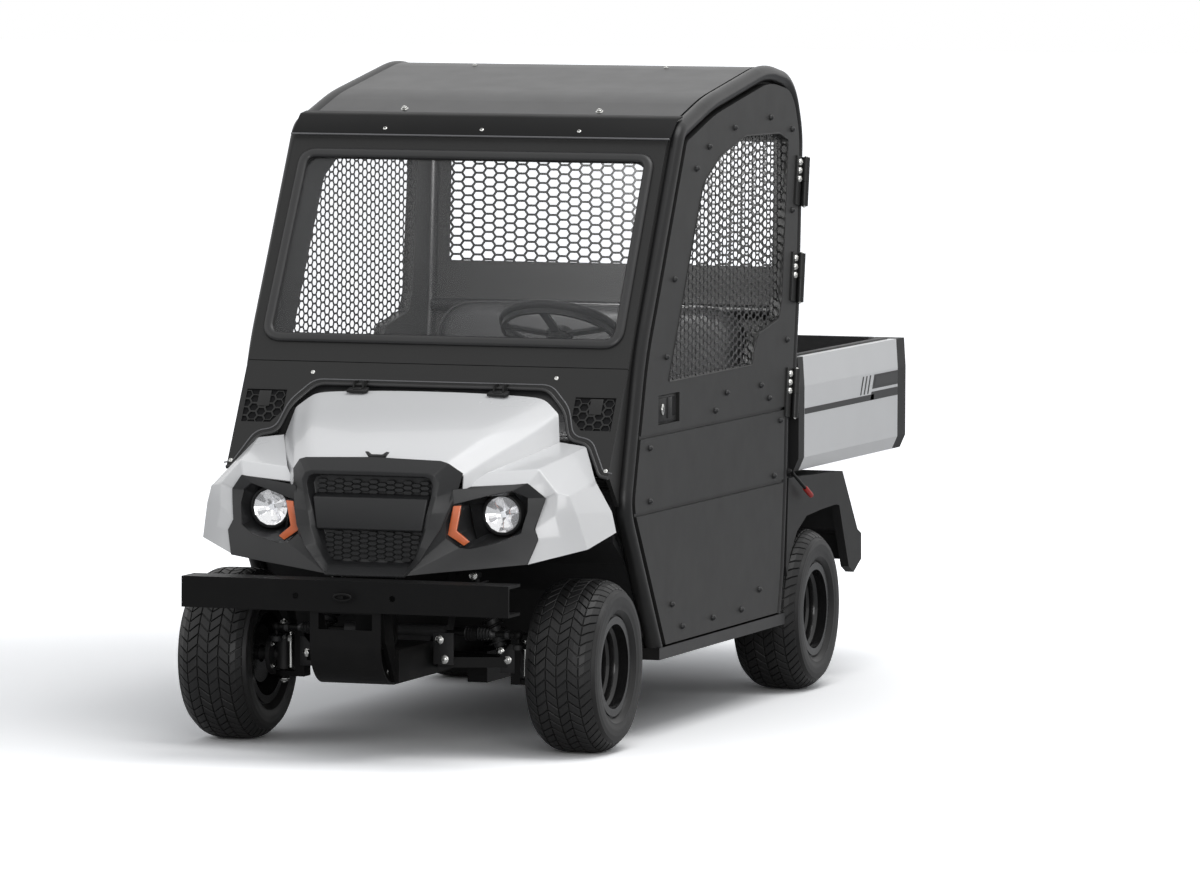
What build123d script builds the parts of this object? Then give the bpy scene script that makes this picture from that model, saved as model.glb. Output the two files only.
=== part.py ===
from build123d import *
from math import atan, cos, degrees, radians, sin, sqrt, tan
import os

# Golf utility cart with a hard cab, two doors and a tipping cargo bed.
# Millimetres. +Z up, the front faces -Y, the driver sits on the +X side.
# The origin is on the ground below the centre of the whole vehicle.

# ------------------------------------------------------------------ driving dimensions
wheelbase = 1936.0
front_overhang = 548.0          # bumper bar ahead of the front axle
rear_overhang = 1016.0          # cargo bed behind the rear axle
track = 1065.0
roof_z = 1947.0                 # highest point of the cab
cab_half = 615.0                # outer face of doors and tubes
clear = 6.0                     # running clearance round moving panels
seat_gap = 0.3                  # between pieces that are bolted or laid together

# ------------------------------------------------------------------ wheels
tyre_r = 250.0
tyre_width = 215.0
bead_r = 127.0                  # ten inch bead seat
flange_r = 143.6
flange_t = 6.0
shoulder_r = 34.0               # flat of the tread ends this far inside the tyre's side
rim_shell = 5.0
dish_x = -34.0                  # wheel disc, measured outward from the tyre centre
dish_t = 7.0
stud_circle_r = 50.8
stud_r = 7.0
hub_r = 34.0
drum_r = 84.0
drum_depth = 38.0
spindle_r = 18.0

# ------------------------------------------------------------------ front axle and steering
kingpin_gap = 107.5             # kingpin inboard of the wheel disc
kingpin_x = track / 2 + dish_x - kingpin_gap
kingpin_r = 11.0
knuckle_r = 22.0
knuckle_low = 209.0
knuckle_high = 313.0
yoke_low = 189.0
yoke_high = 333.0
yoke_t = 15.0
yoke_inner = kingpin_x - 73.0
yoke_plate = 30.0
yoke_half = 26.0                # along the cart, clear of the steering arm at full lock
steer_arm = 110.0               # tie rod ball ahead of the kingpin
arm_t = 14.0
rack_z = 341.0
rack_half = 155.0
bellows_start = 215.0
bellows_end = 249.0
tie_rod_r = 8.0
ball_r = 13.0
wheel_angle = 27.0              # steering wheel plane above level
steer_x = 230.0
steer_y = 660.0                 # behind the front axle
steer_z = 1180.0
steer_ring_r = 172.0
steer_rim_r = 13.0
column_r = 22.0
shaft_r = 10.0

# ------------------------------------------------------------------ chassis
rail_in = 120.0
rail_w = 60.0
rail_low = 172.0
floor_z = 262.0                 # top of the rails, underside of the floor
rear_rail_low = 530.0
rear_rail_high = 610.0
sub_half = rail_in - 0.3        # front subframe box fits between the rails
sub_low = 225.0
sub_high = 318.0
tower_x = 200.0
fascia_low = 524.0              # underside of the grille frame, which stands on the subframe post
tower_bar_z = 515.0             # underside of the bar that holds the shock heads
axle_tube_r = 38.0

# ------------------------------------------------------------------ cab
tube_r = 25.0
sill_low = 227.0
sill_w = 2 * tube_r + 5.0
cowl_foot = 52.0                # front plane at cowl_foot_z, behind the front axle
cowl_foot_z = 807.0
rake = atan(0.575)
panel_t = 12.0                  # front panel thickness
seam_z = 1092.0
panel_half = 588.0
glass_t = 5.0
door_t = 32.0
door_seams = (890.0, 668.0)
seam_w = 10.0
seam_d = 6.0
hinge_out = 13.0                # hinge pin centre outside the door skin
hinge_r = 7.0
leaf_t = 5.0
hinge_lean = 0.136              # rearward per unit of height

# ------------------------------------------------------------------ cargo bed
bed_half = 612.0
bed_low = 684.0
bed_top = 1036.0
bed_wall = 54.0                 # outer face of a bed side to the inside of the bed
bed_floor_z = 742.0
bed_pivot_y = 764.0             # behind the rear axle
bed_pivot_z = 652.0
bed_pivot_r = 12.0
gate_t = 30.0
guard_inner = 400.0             # inner face of the rear mudguards

# ------------------------------------------------------------------ helpers
overall = front_overhang + wheelbase + rear_overhang
front_axle_y = -overall / 2 + front_overhang
rear_axle_y = front_axle_y + wheelbase
tyre_x = track / 2
bed_front_y = rear_axle_y - 137.0
bed_rear_y = rear_axle_y + rear_overhang
CLIP = 4000.0


def fore(y):
    """Station y millimetres behind the front axle."""
    return front_axle_y + y


def aft(y):
    """Station y millimetres behind the rear axle."""
    return rear_axle_y + y


def rake_y(z):
    """Station of the cab's front plane at height z."""
    return fore(cowl_foot) + (z - cowl_foot_z) * tan(rake)


def up(z):
    """Distance up the raked front plane for height z."""
    return (z - cowl_foot_z) / cos(rake)


def save(builder, name):
    builder.part.label = name
    export_step(builder.part, f"parts/{name}.step")


def facet_solid(points, faces):
    """Closed flat-faced solid: each face is a list of point names."""
    sides = []
    for face in faces:
        corners = [points[key] for key in face]
        for i in range(1, len(corners) - 1):
            loop = Wire.make_polygon([corners[0], corners[i], corners[i + 1]], close=True)
            sides.append(Face(loop))
    return Solid(Shell(sides))


os.makedirs("parts", exist_ok=True)
front_plane = Plane(origin=(0, fore(cowl_foot), cowl_foot_z), x_dir=(1, 0, 0),
                    z_dir=(0, -cos(rake), sin(rake)))


# ------------------------------------------------------------------ wheels
def make_tyre(name, x, y):
    """Low turf tyre, revolved about the axle line."""
    half = tyre_width / 2
    tread = half - 12
    bead = half - flange_t - 14
    with BuildPart() as tyre:
        with BuildSketch(Plane.XY):
            with BuildLine():
                outline = Polyline((-bead, bead_r + seat_gap), (bead, bead_r + seat_gap),
                                   (bead, flange_r + 4), (half, tyre_r - 62),
                                   (tread, tyre_r - 10), (half - shoulder_r, tyre_r),
                                   (-half + shoulder_r, tyre_r), (-tread, tyre_r - 10),
                                   (-half, tyre_r - 62), (-bead, flange_r + 4), close=True)
            make_face()
        revolve(axis=Axis.X)
    placed = Pos(x, y, tyre_r) * tyre.part
    with BuildPart() as node:
        add(placed)
    save(node, name)


def make_rim(name, x, y, side):
    """Deep dish steel rim with its brake drum, side is +1 or -1 outward."""
    half = tyre_width / 2
    bead = half - flange_t - 14
    with BuildPart() as rim:
        with BuildSketch(Plane.XY):
            with BuildLine():
                Polyline((-bead - flange_t, flange_r), (-bead - seat_gap, flange_r),
                         (-bead - seat_gap, bead_r), (bead + seat_gap, bead_r),
                         (bead + seat_gap, flange_r), (bead + flange_t, flange_r),
                         (bead + flange_t, bead_r - rim_shell),
                         (-bead - flange_t, bead_r - rim_shell), close=True)
            make_face()
            with BuildLine():
                Polyline((dish_x, hub_r - 6), (dish_x + dish_t, hub_r - 6), (dish_x + dish_t, 88),
                         (dish_x + 24, bead_r - rim_shell + 1), (dish_x + 16, bead_r - rim_shell + 1),
                         (dish_x, 92), close=True)
            make_face()
            with BuildLine():
                Polyline((dish_x - drum_depth, 26), (dish_x, 26), (dish_x, drum_r),
                         (dish_x - drum_depth, drum_r), close=True)
            make_face()
            with BuildLine():
                Polyline((dish_x - 1, spindle_r + 0.4), (dish_x + 42, spindle_r + 0.4), (dish_x + 42, hub_r),
                         (dish_x - 1, hub_r), close=True)
            make_face()
        revolve(axis=Axis.X)
        with Locations(Plane.YZ.offset(dish_x)):
            with PolarLocations(stud_circle_r, 4, start_angle=45):
                Cylinder(stud_r, 20, align=(Align.CENTER, Align.CENTER, Align.MIN))
    turn = Rot(0, 0, 0) if side > 0 else Rot(0, 0, 180)
    placed = Pos(x, y, tyre_r) * turn * rim.part
    with BuildPart() as node:
        add(placed)
    save(node, name)


for end, axle_y in (("front", front_axle_y), ("rear", rear_axle_y)):
    for word, side in (("left", 1), ("right", -1)):
        make_tyre(f"{end}_{word}_tyre", side * tyre_x, axle_y)
        make_rim(f"{end}_{word}_rim", side * tyre_x, axle_y, side)

# ------------------------------------------------------------------ steering knuckles
spindle_end = tyre_x + dish_x + 30
for word, side in (("left", 1), ("right", -1)):
    with BuildPart() as knuckle:
        with Locations((side * kingpin_x, front_axle_y, knuckle_low)):
            Cylinder(knuckle_r, knuckle_high - knuckle_low,
                     align=(Align.CENTER, Align.CENTER, Align.MIN))
        spindle_plane = Plane(origin=(side * kingpin_x, front_axle_y, tyre_r),
                              x_dir=(0, 1, 0), z_dir=(side, 0, 0))
        with BuildSketch(spindle_plane):
            Circle(spindle_r)
        extrude(amount=spindle_end - kingpin_x)
        with BuildSketch(spindle_plane.offset(24)):
            Circle(60)
        extrude(amount=12)
        with BuildSketch(Plane.XY.offset(knuckle_high - arm_t)):
            with BuildLine():
                Polyline((side * (kingpin_x - 14), fore(0)), (side * (kingpin_x + 14), fore(0)),
                         (side * (kingpin_x - 8), fore(-steer_arm)),
                         (side * (kingpin_x - 32), fore(-steer_arm)), close=True)
            make_face()
            with Locations((side * (kingpin_x - 20), fore(-steer_arm))):
                Circle(16)
        extrude(amount=arm_t)
        with Locations((side * kingpin_x, front_axle_y, knuckle_low)):
            Cylinder(kingpin_r + seat_gap, CLIP, mode=Mode.SUBTRACT)
    save(knuckle, f"front_{word}_knuckle")

# ------------------------------------------------------------------ front suspension
with BuildPart() as yokes:
    for side in (1, -1):
        with BuildSketch(Plane.XZ.offset(-fore(yoke_half))):
            with Locations((side * (yoke_inner + yoke_plate / 2), (yoke_low + yoke_high) / 2)):
                Rectangle(yoke_plate, yoke_high - yoke_low)
        extrude(amount=2 * yoke_half)
        for low in (yoke_low, yoke_high - yoke_t):
            with BuildSketch(Plane.XY.offset(low)):
                with Locations((side * (yoke_inner + kingpin_x) / 2, front_axle_y)):
                    Rectangle(kingpin_x - yoke_inner, 2 * knuckle_r)
                with Locations((side * kingpin_x, front_axle_y)):
                    Circle(knuckle_r)
            extrude(amount=yoke_t)
        with Locations((side * kingpin_x, front_axle_y, yoke_low - 9)):
            Cylinder(kingpin_r, yoke_high - yoke_low + 18, align=(Align.CENTER, Align.CENTER, Align.MIN))
        with BuildSketch(Plane.XY.offset(238)):
            with BuildLine():
                Polyline((side * (sub_half + seat_gap), fore(-95)), (side * (yoke_inner + 2), fore(-24)),
                         (side * (yoke_inner + 2), fore(24)), (side * (sub_half + seat_gap), fore(95)),
                         (side * (sub_half + seat_gap), fore(50)), (side * (yoke_inner - 68), fore(0)),
                         (side * (sub_half + seat_gap), fore(-50)), close=True)
            make_face()
        extrude(amount=30)
save(yokes, "front_suspension_arms")

arm_top = 268.0
shock_eye = 15.0
shock_foot = (yoke_inner - 34, arm_top + seat_gap + shock_eye)
shock_head = (tower_x, tower_bar_z - seat_gap - shock_eye)
shock_len = sqrt((shock_foot[0] - shock_head[0]) ** 2 + (shock_foot[1] - shock_head[1]) ** 2)
with BuildPart() as shocks:
    for side in (1, -1):
        lean = Plane(origin=(side * shock_foot[0], front_axle_y, shock_foot[1]), x_dir=(0, 1, 0),
                     z_dir=(side * (shock_head[0] - shock_foot[0]), 0, shock_head[1] - shock_foot[1]))
        with BuildSketch(lean):
            Circle(11)
        extrude(amount=shock_len)
        with BuildSketch(lean.offset(22)):
            Circle(32)
        extrude(amount=shock_len - 44)
        with BuildSketch(Plane.XZ.offset(-fore(18))):
            with Locations((side * shock_foot[0], shock_foot[1]), (side * shock_head[0], shock_head[1])):
                Circle(shock_eye)
        extrude(amount=36)
save(shocks, "front_shock_absorbers")

with BuildPart() as subframe:
    with Locations((0, fore(-60), (sub_low + sub_high) / 2)):
        Box(2 * sub_half, 720, sub_high - sub_low)
    with Locations((0, fore(-60), (sub_low + sub_high) / 2)):
        Box(2 * sub_half - 16, 720 - 16, sub_high - sub_low - 16, mode=Mode.SUBTRACT)
    for side in (1, -1):
        with BuildSketch(Plane.XZ.offset(-fore(30))):
            with BuildLine():
                Polyline((side * 96, sub_high), (side * sub_half, sub_high), (side * 150, 500),
                         (side * 150, tower_bar_z + 28), (side * 128, tower_bar_z + 28), (side * 128, 500),
                         close=True)
            make_face()
        extrude(amount=60)
    with Locations((0, fore(0), tower_bar_z + 14)):
        Box(2 * (tower_x + 14), 50, 28)
    with Locations((0, fore(-280), (sub_high + fascia_low - seat_gap) / 2)):
        Box(120, 24, fascia_low - seat_gap - sub_high)
save(subframe, "front_subframe")

# ------------------------------------------------------------------ steering
with BuildPart() as rack:
    with BuildSketch(Plane.YZ.offset(-rack_half)):
        with Locations((fore(-steer_arm), rack_z)):
            Circle(22)
    extrude(amount=2 * rack_half)
    with Locations((0, fore(-steer_arm), (sub_high + rack_z) / 2)):
        Box(220, 40, rack_z - sub_high)
    with BuildSketch(Plane.YZ.offset(-rack_half)):
        with Locations((fore(-steer_arm), rack_z)):
            Circle(tie_rod_r + 0.5)
    extrude(amount=2 * rack_half, mode=Mode.SUBTRACT)
save(rack, "steering_rack_housing")

ball_x = kingpin_x - 20
with BuildPart() as tie_rods:
    with BuildSketch(Plane.YZ.offset(-ball_x)):
        with Locations((fore(-steer_arm), rack_z)):
            Circle(tie_rod_r)
    extrude(amount=2 * ball_x)
    for side in (1, -1):
        with BuildSketch(Plane.YZ.offset(side * (bellows_end + bellows_start) / 2 - (bellows_end - bellows_start) / 2)):
            with Locations((fore(-steer_arm), rack_z)):
                Circle(20)
        extrude(amount=bellows_end - bellows_start)
        with Locations((side * ball_x, fore(-steer_arm), rack_z)):
            Sphere(ball_r)
        with Locations((side * ball_x, fore(-steer_arm), knuckle_high + 5)):
            Cylinder(6, rack_z - knuckle_high - 5, align=(Align.CENTER, Align.CENTER, Align.MIN))
save(tie_rods, "steering_tie_rods")

steer_dir = Vector(0, sin(radians(wheel_angle)), cos(radians(wheel_angle)))
steer_centre = Vector(steer_x, fore(steer_y), steer_z)
steer_plane = Plane(origin=steer_centre, x_dir=(1, 0, 0), z_dir=steer_dir)
with BuildPart() as steering_wheel:
    with BuildSketch(Plane(origin=steer_centre + steer_plane.x_dir * steer_ring_r,
                           x_dir=steer_plane.x_dir, z_dir=steer_plane.y_dir)):
        Circle(steer_rim_r)
    revolve(axis=Axis(steer_centre, steer_dir))
    with BuildSketch(steer_plane.offset(-45)):
        Circle(38)
    extrude(amount=40, taper=8)
    with BuildSketch(steer_plane.offset(-28)):
        for angle in (-20, 200, 270):
            reach = steer_ring_r - 4
            with Locations(Rot(0, 0, angle)):
                with Locations((reach / 2, 0)):
                    Rectangle(reach, 26)
    extrude(amount=8)
    with BuildSketch(steer_plane.offset(-28)):
        Circle(steer_ring_r + 2)
        Circle(steer_ring_r - 10, mode=Mode.SUBTRACT)
    extrude(amount=22)
    with BuildSketch(steer_plane.offset(-44)):
        Circle(shaft_r)
    extrude(amount=-60)
save(steering_wheel, "steering_wheel")

column_len = 696.0
with BuildPart() as column:
    with BuildSketch(steer_plane.offset(-45 - clear)):
        Circle(column_r)
    extrude(amount=-column_len)
    with BuildSketch(steer_plane.offset(-45 - clear)):
        Circle(shaft_r + 0.4)
    extrude(amount=-60, mode=Mode.SUBTRACT)
save(column, "steering_column")

# ------------------------------------------------------------------ chassis frame
with BuildPart() as frame:
    for side in (1, -1):
        start = rail_in if side > 0 else -rail_in - rail_w
        with BuildSketch(Plane.YZ.offset(start)):
            with BuildLine():
                Polyline((fore(160), rail_low), (aft(-235), rail_low), (aft(-85), rear_rail_low),
                         (aft(bed_pivot_y + 30), rear_rail_low), (aft(bed_pivot_y + 30), rear_rail_high),
                         (aft(-130), rear_rail_high), (aft(-290), floor_z), (fore(160), floor_z),
                         close=True)
            make_face()
        extrude(amount=rail_w)
        pivot_plane = Plane.YZ.offset(side * (rail_in + rail_w / 2) - 8)
        with BuildSketch(pivot_plane):
            with Locations((aft(bed_pivot_y), (rear_rail_high + bed_pivot_z) / 2)):
                Rectangle(44, bed_pivot_z - rear_rail_high)
            with Locations((aft(bed_pivot_y), bed_pivot_z)):
                Circle(22)
        extrude(amount=16)
        with BuildSketch(pivot_plane):
            with Locations((aft(bed_pivot_y), bed_pivot_z)):
                Circle(bed_pivot_r + 0.6)
        extrude(amount=16, mode=Mode.SUBTRACT)
        with Locations((side * (rail_in + rail_w / 2), aft(-40), (rear_rail_high + bed_low - seat_gap) / 2)):
            Box(50, 60, bed_low - seat_gap - rear_rail_high)
    for y, low, high in ((fore(380), rail_low + 10, floor_z), (aft(-420), rail_low + 10, floor_z),
                         (aft(60), rear_rail_low + 10, rear_rail_high),
                         (aft(bed_pivot_y - 20), rear_rail_low, rear_rail_high)):
        with Locations((0, y, (low + high) / 2)):
            Box(2 * rail_in + 2, 50, high - low)
    for y in (fore(520), aft(-425)):
        with Locations((0, y, floor_z - 20)):
            Box(2 * (cab_half - sill_w - seat_gap), 40, 40)
    for y in (aft(-120), aft(300)):
        with Locations((0, y, rear_rail_high - 18)):
            Box(2 * (guard_inner - seat_gap), 36, 36)
save(frame, "chassis_frame")

# ------------------------------------------------------------------ rear axle and engine
with BuildPart() as axle:
    with BuildSketch(Plane.YZ.offset(-(tyre_x + dish_x - drum_depth - seat_gap))):
        with Locations((rear_axle_y, tyre_r)):
            Circle(axle_tube_r)
    extrude(amount=2 * (tyre_x + dish_x - drum_depth - seat_gap))
    with BuildSketch(Plane.YZ.offset(-95)):
        with Locations((rear_axle_y, tyre_r)):
            Circle(112)
    extrude(amount=190)
    for side in (1, -1):
        with BuildSketch(Plane.YZ.offset(side * (rail_in + rail_w + 35) - 15)):
            with BuildLine():
                Polyline((rear_axle_y, tyre_r + 24), (rear_axle_y, tyre_r - 24),
                         (aft(-405), rail_low - 2), (aft(-445), rail_low + 8),
                         (aft(-445), floor_z - 40 - seat_gap), (aft(-405), floor_z - 40 - seat_gap),
                         close=True)
            make_face()
        extrude(amount=30)
save(axle, "rear_axle")

with BuildPart() as springs:
    for side in (1, -1):
        x = side * (rail_in + rail_w / 2)
        foot = tyre_r + axle_tube_r + seat_gap
        with Locations((x, rear_axle_y, foot)):
            Cylinder(38, 14, align=(Align.CENTER, Align.CENTER, Align.MIN))
            Cylinder(30, rear_rail_low - foot - seat_gap, align=(Align.CENTER, Align.CENTER, Align.MIN))
save(springs, "rear_shock_absorbers")

with BuildPart() as engine:
    with Locations((0, aft(-620), 300)):
        Box(2 * (rail_in - seat_gap), 340, 300)
save(engine, "engine_block")

# ------------------------------------------------------------------ floor
floor_t = 14.0
toe = [(460, floor_z), (372, 300), (350, 430), (275, 520), (160, 590), (128, 700)]
with BuildPart() as floor:
    with BuildSketch(Plane.YZ.offset(-(cab_half - 2 * tube_r - seat_gap))):
        with BuildLine():
            front_side = [(fore(y), z) for y, z in toe]
            back_side = [(fore(y + 18), z + 12) for y, z in reversed(toe)]
            Polyline((aft(-345), floor_z), *front_side, *back_side[:-1],
                     (fore(470), floor_z + floor_t), (aft(-345), floor_z + floor_t), close=True)
        make_face()
    extrude(amount=2 * (cab_half - 2 * tube_r - seat_gap))
    with Locations((0, aft(-620), floor_z)):
        Box(2 * rail_in + 12, 360, 60, mode=Mode.SUBTRACT)
save(floor, "floor_pan")

sill_half = cab_half - sill_w
with BuildPart() as sills:
    for side in (1, -1):
        with BuildSketch(Plane.YZ.offset(side * (sill_half + seat_gap))):
            with BuildLine():
                Polyline((fore(440), sill_low), (aft(-278), sill_low), (aft(-278), floor_z - seat_gap),
                         (fore(440), floor_z - seat_gap), close=True)
            make_face()
        extrude(amount=side * (sill_w - seat_gap))
save(sills, "rocker_sills")

# ------------------------------------------------------------------ cab frame
# The side hoop follows the door opening: foot, knee, raked pillar, roof bow, rear post.
hoop = [
    (fore(465), floor_z), (fore(168), 686), (fore(297), 1126), (fore(434), 1366),
    (rake_y(roof_z - 185) + 54, roof_z - 185), (fore(939), roof_z - 109), (aft(-456), roof_z - 25),
    (aft(-201), roof_z - 62), (aft(-124), roof_z - 219), (aft(-151), 1211), (aft(-186), 950),
    (aft(-258), 880), (aft(-268), 664), (aft(-296), 387), (aft(-326), floor_z),
]
hoop_bends = [110, 700, 1200, 70, 1200, 600, 170, 200, 500, 38, 38, 200, 200]
hoop_x = cab_half - tube_r
brace_z = {"seam": 1112.0, "brow": roof_z - 178}


def hoop_y(z, front=True):
    """Station of the hoop's centre at height z, on its front or rear leg."""
    legs = hoop[1:5] if front else hoop[8:]
    for (y0, z0), (y1, z1) in zip(legs, legs[1:]):
        if min(z0, z1) <= z <= max(z0, z1):
            return y0 + (y1 - y0) * (z - z0) / (z1 - z0)
    return legs[0][0]


with BuildPart() as hoops:
    for side in (1, -1):
        with BuildLine(Plane.YZ.offset(side * hoop_x)) as path:
            FilletPolyline(*hoop, radius=hoop_bends)
        with BuildSketch(Plane(origin=path.wires()[0] @ 0, z_dir=path.wires()[0] % 0)):
            Circle(tube_r)
        sweep(path=path.wires()[0])
    for y, z in ((hoop_y(760), 760), (hoop_y(roof_z - 190) + tube_r - 19, roof_z - 171 - tube_r), (aft(-180), roof_z - 150),
                 (hoop_y(1180, False) - tube_r - 1, 1180)):
        with BuildSketch(Plane.YZ.offset(-hoop_x + tube_r - 3)):
            with Locations((y, z)):
                Circle(tube_r - 7)
        extrude(amount=2 * (hoop_x - tube_r + 3))
    with Locations((0, rear_axle_y - wheelbase / 2, floor_z - 50)):
        Box(2 * cab_half, 3000, 100, mode=Mode.SUBTRACT)
save(hoops, "cab_tube_frame")

# ------------------------------------------------------------------ windscreen panel
brow_z = roof_z - 196
glass_top = roof_z - 269
glass_bottom = 1171.0
glass_half_top = 528.0
glass_half_bottom = 537.0
gasket = 26.0
with BuildPart() as screen:
    with BuildSketch(front_plane):
        with BuildLine():
            Polyline((-panel_half, up(seam_z + 1)), (panel_half, up(seam_z + 1)),
                     (panel_half - 6, up(brow_z)), (-panel_half + 6, up(brow_z)), close=True)
        make_face()
    extrude(amount=-panel_t)
    with BuildSketch(front_plane.offset(1)) as window:
        with BuildLine():
            Polyline((-glass_half_bottom, up(glass_bottom)), (glass_half_bottom, up(glass_bottom)),
                     (glass_half_top, up(glass_top)), (-glass_half_top, up(glass_top)), close=True)
        make_face()
        fillet(window.vertices(), 38)
    extrude(amount=-panel_t - 2, mode=Mode.SUBTRACT)
save(screen, "windscreen_panel")

with BuildPart() as seal:
    with BuildSketch(front_plane.offset(9)) as ring:
        with BuildLine():
            Polyline((-glass_half_bottom, up(glass_bottom)), (glass_half_bottom, up(glass_bottom)),
                     (glass_half_top, up(glass_top)), (-glass_half_top, up(glass_top)), close=True)
        make_face()
        fillet(ring.vertices(), 38)
        offset(amount=-seat_gap)
        offset(amount=-gasket, mode=Mode.SUBTRACT)
    extrude(amount=-panel_t - 9)
save(seal, "windscreen_seal")

with BuildPart() as glass:
    with BuildSketch(front_plane.offset(-4)) as pane:
        with BuildLine():
            Polyline((-glass_half_bottom, up(glass_bottom)), (glass_half_bottom, up(glass_bottom)),
                     (glass_half_top, up(glass_top)), (-glass_half_top, up(glass_top)), close=True)
        make_face()
        fillet(pane.vertices(), 38)
        offset(amount=-gasket - 2 * seat_gap)
    extrude(amount=-glass_t)
save(glass, "windscreen_glass")

# ------------------------------------------------------------------ cowl panel
clip_x = 217.0                  # hood hinge clips
clip_half = 12.0
cheek_t = 5.0
clip_pin_r = 4.0
hood_pivot_y = fore(159)
hood_pivot_z = 1030.0
cut_x = [357.0, 423.0, 450.0, 510.0, 562.0, 588.0]
cut_z = [1029.0, 967.0, 889.0, 880.0, 792.0, 788.0]
with BuildPart() as cowl:
    with BuildSketch(front_plane):
        with BuildLine():
            edge = [(x, up(z)) for x, z in zip(cut_x, cut_z)]
            Polyline((0, up(cut_z[0])), *edge, (panel_half, up(seam_z - 1)), (0, up(seam_z - 1)), close=True)
        make_face()
    extrude(amount=-panel_t)
    with BuildSketch(front_plane.offset(1)):
        with BuildLine():
            Polyline((442, up(1014)), (575, up(1014)), (575, up(914)), (478, up(914)), (442, up(950)),
                     close=True)
        make_face()
    extrude(amount=-7, mode=Mode.SUBTRACT)
    for x in (clip_x - clip_half - cheek_t, clip_x + clip_half):
        with Locations((x + cheek_t / 2, fore(168), 1031.5)):
            Box(cheek_t, 44, 21)
    mirror(about=Plane.YZ)
    for side in (1, -1):
        with BuildSketch(Plane.YZ.offset(side * clip_x - clip_half - cheek_t)):
            with Locations((hood_pivot_y, hood_pivot_z)):
                Circle(clip_pin_r)
        extrude(amount=2 * (clip_half + cheek_t))
save(cowl, "cowl_panel")

# Side returns close the corner between the flat front panels and the tube hoops.
panel_back = (panel_t + seat_gap) / cos(rake)
with BuildPart() as returns:
    with BuildSketch(Plane.YZ.offset(panel_half - 16)):
        with BuildLine():
            Polyline((rake_y(brow_z) + panel_back, brow_z), (rake_y(794) + panel_back, 794),
                     (hoop[1][0] - 12, hoop[1][1] + 8), (hoop[2][0] - 8, hoop[2][1]),
                     (hoop[3][0] - 8, hoop[3][1]), (hoop_y(brow_z) - 8, brow_z), close=True)
        make_face()
        with BuildLine() as trim:
            FilletPolyline(*hoop, radius=hoop_bends)
        trace(trim.line, line_width=2 * (tube_r + seat_gap), mode=Mode.SUBTRACT)
    extrude(amount=12)
    mirror(about=Plane.YZ)
save(returns, "cowl_side_returns")


def hoop_region(grow):
    """Face enclosed by the hoop's centre line, grown or shrunk, in local (y, z)."""
    low = floor_z - tube_r
    front_foot = (hoop[0][0] + (hoop[0][0] - hoop[1][0]) * tube_r / (hoop[1][1] - floor_z), low)
    rear_foot = (hoop[-1][0] - (hoop[-2][0] - hoop[-1][0]) * tube_r / (hoop[-2][1] - floor_z), low)
    with BuildSketch() as region:
        with BuildLine():
            line = FilletPolyline(front_foot, *hoop[1:-1], rear_foot, radius=hoop_bends)
            Line(line @ 0, line @ 1)
        make_face()
        if grow:
            offset(amount=grow, mode=Mode.REPLACE)
    return region.sketch_local


# ------------------------------------------------------------------ roof
roof_half = hoop_x - tube_r - seat_gap
roof_rise = 12.0                # underside of the roof sheet above the hoop's centre line
roof_t = 8.0
sheet_half = hoop_x - sqrt(tube_r ** 2 - roof_rise ** 2) - seat_gap
with BuildPart() as roof:
    with BuildSketch(Plane.YZ.offset(-sheet_half)):
        add(hoop_region(roof_rise + roof_t))
        add(hoop_region(roof_rise), mode=Mode.SUBTRACT)
        with BuildLine():
            Polyline((fore(706), roof_z - 300), (fore(706), roof_z + 50), (aft(200), roof_z + 50),
                     (aft(200), roof_z - 240), (aft(-300), roof_z - 240), close=True)
        make_face(mode=Mode.INTERSECT)
    extrude(amount=2 * sheet_half)
save(roof, "roof_panel")

lip_z = brow_z + seat_gap
with BuildPart() as visor:
    with BuildSketch(Plane.YZ.offset(-cab_half + 7)):
        with BuildLine():
            Polyline((rake_y(lip_z) - 5, lip_z), (fore(655), roof_z - 146), (fore(704), roof_z - 138),
                     (fore(704), roof_z - 145), (fore(659), roof_z - 152), (rake_y(lip_z) + 4, lip_z),
                     close=True)
        make_face()
    extrude(amount=2 * cab_half - 14)
save(visor, "roof_visor")

# ------------------------------------------------------------------ rear wall
wall_t = 12.0
mesh_low = 1311.0
mesh_top = roof_z - 247
mesh_half = 530.0
mesh_t = 4.0
with BuildPart() as rear_wall:
    with BuildSketch(Plane.YZ.offset(-roof_half)):
        add(hoop_region(wall_t / 2))
        add(hoop_region(-wall_t / 2), mode=Mode.SUBTRACT)
        with BuildLine():
            Polyline((aft(-420), floor_z + floor_t + seat_gap), (aft(-420), roof_z - 244),
                     (aft(100), roof_z - 244), (aft(100), floor_z + floor_t + seat_gap), close=True)
        make_face(mode=Mode.INTERSECT)
    extrude(amount=2 * roof_half)
    with BuildSketch(Plane.XZ.offset(-aft(-250))) as window:
        with Locations((0, (mesh_low + mesh_top) / 2)):
            Rectangle(2 * mesh_half, mesh_top - mesh_low)
    extrude(amount=-300, mode=Mode.SUBTRACT)
save(rear_wall, "rear_wall_panel")

with BuildPart() as rear_mesh:
    with BuildSketch(Plane.YZ.offset(-mesh_half + seat_gap)):
        with BuildLine():
            low_y = hoop_y(mesh_low + seat_gap, False)
            high_y = hoop_y(mesh_top - seat_gap, False)
            Polyline((low_y - mesh_t / 2, mesh_low + seat_gap), (low_y + mesh_t / 2, mesh_low + seat_gap),
                     (high_y + mesh_t / 2, mesh_top - seat_gap), (high_y - mesh_t / 2, mesh_top - seat_gap),
                     close=True)
        make_face()
    extrude(amount=2 * (mesh_half - seat_gap))
save(rear_mesh, "rear_window_mesh")

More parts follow.
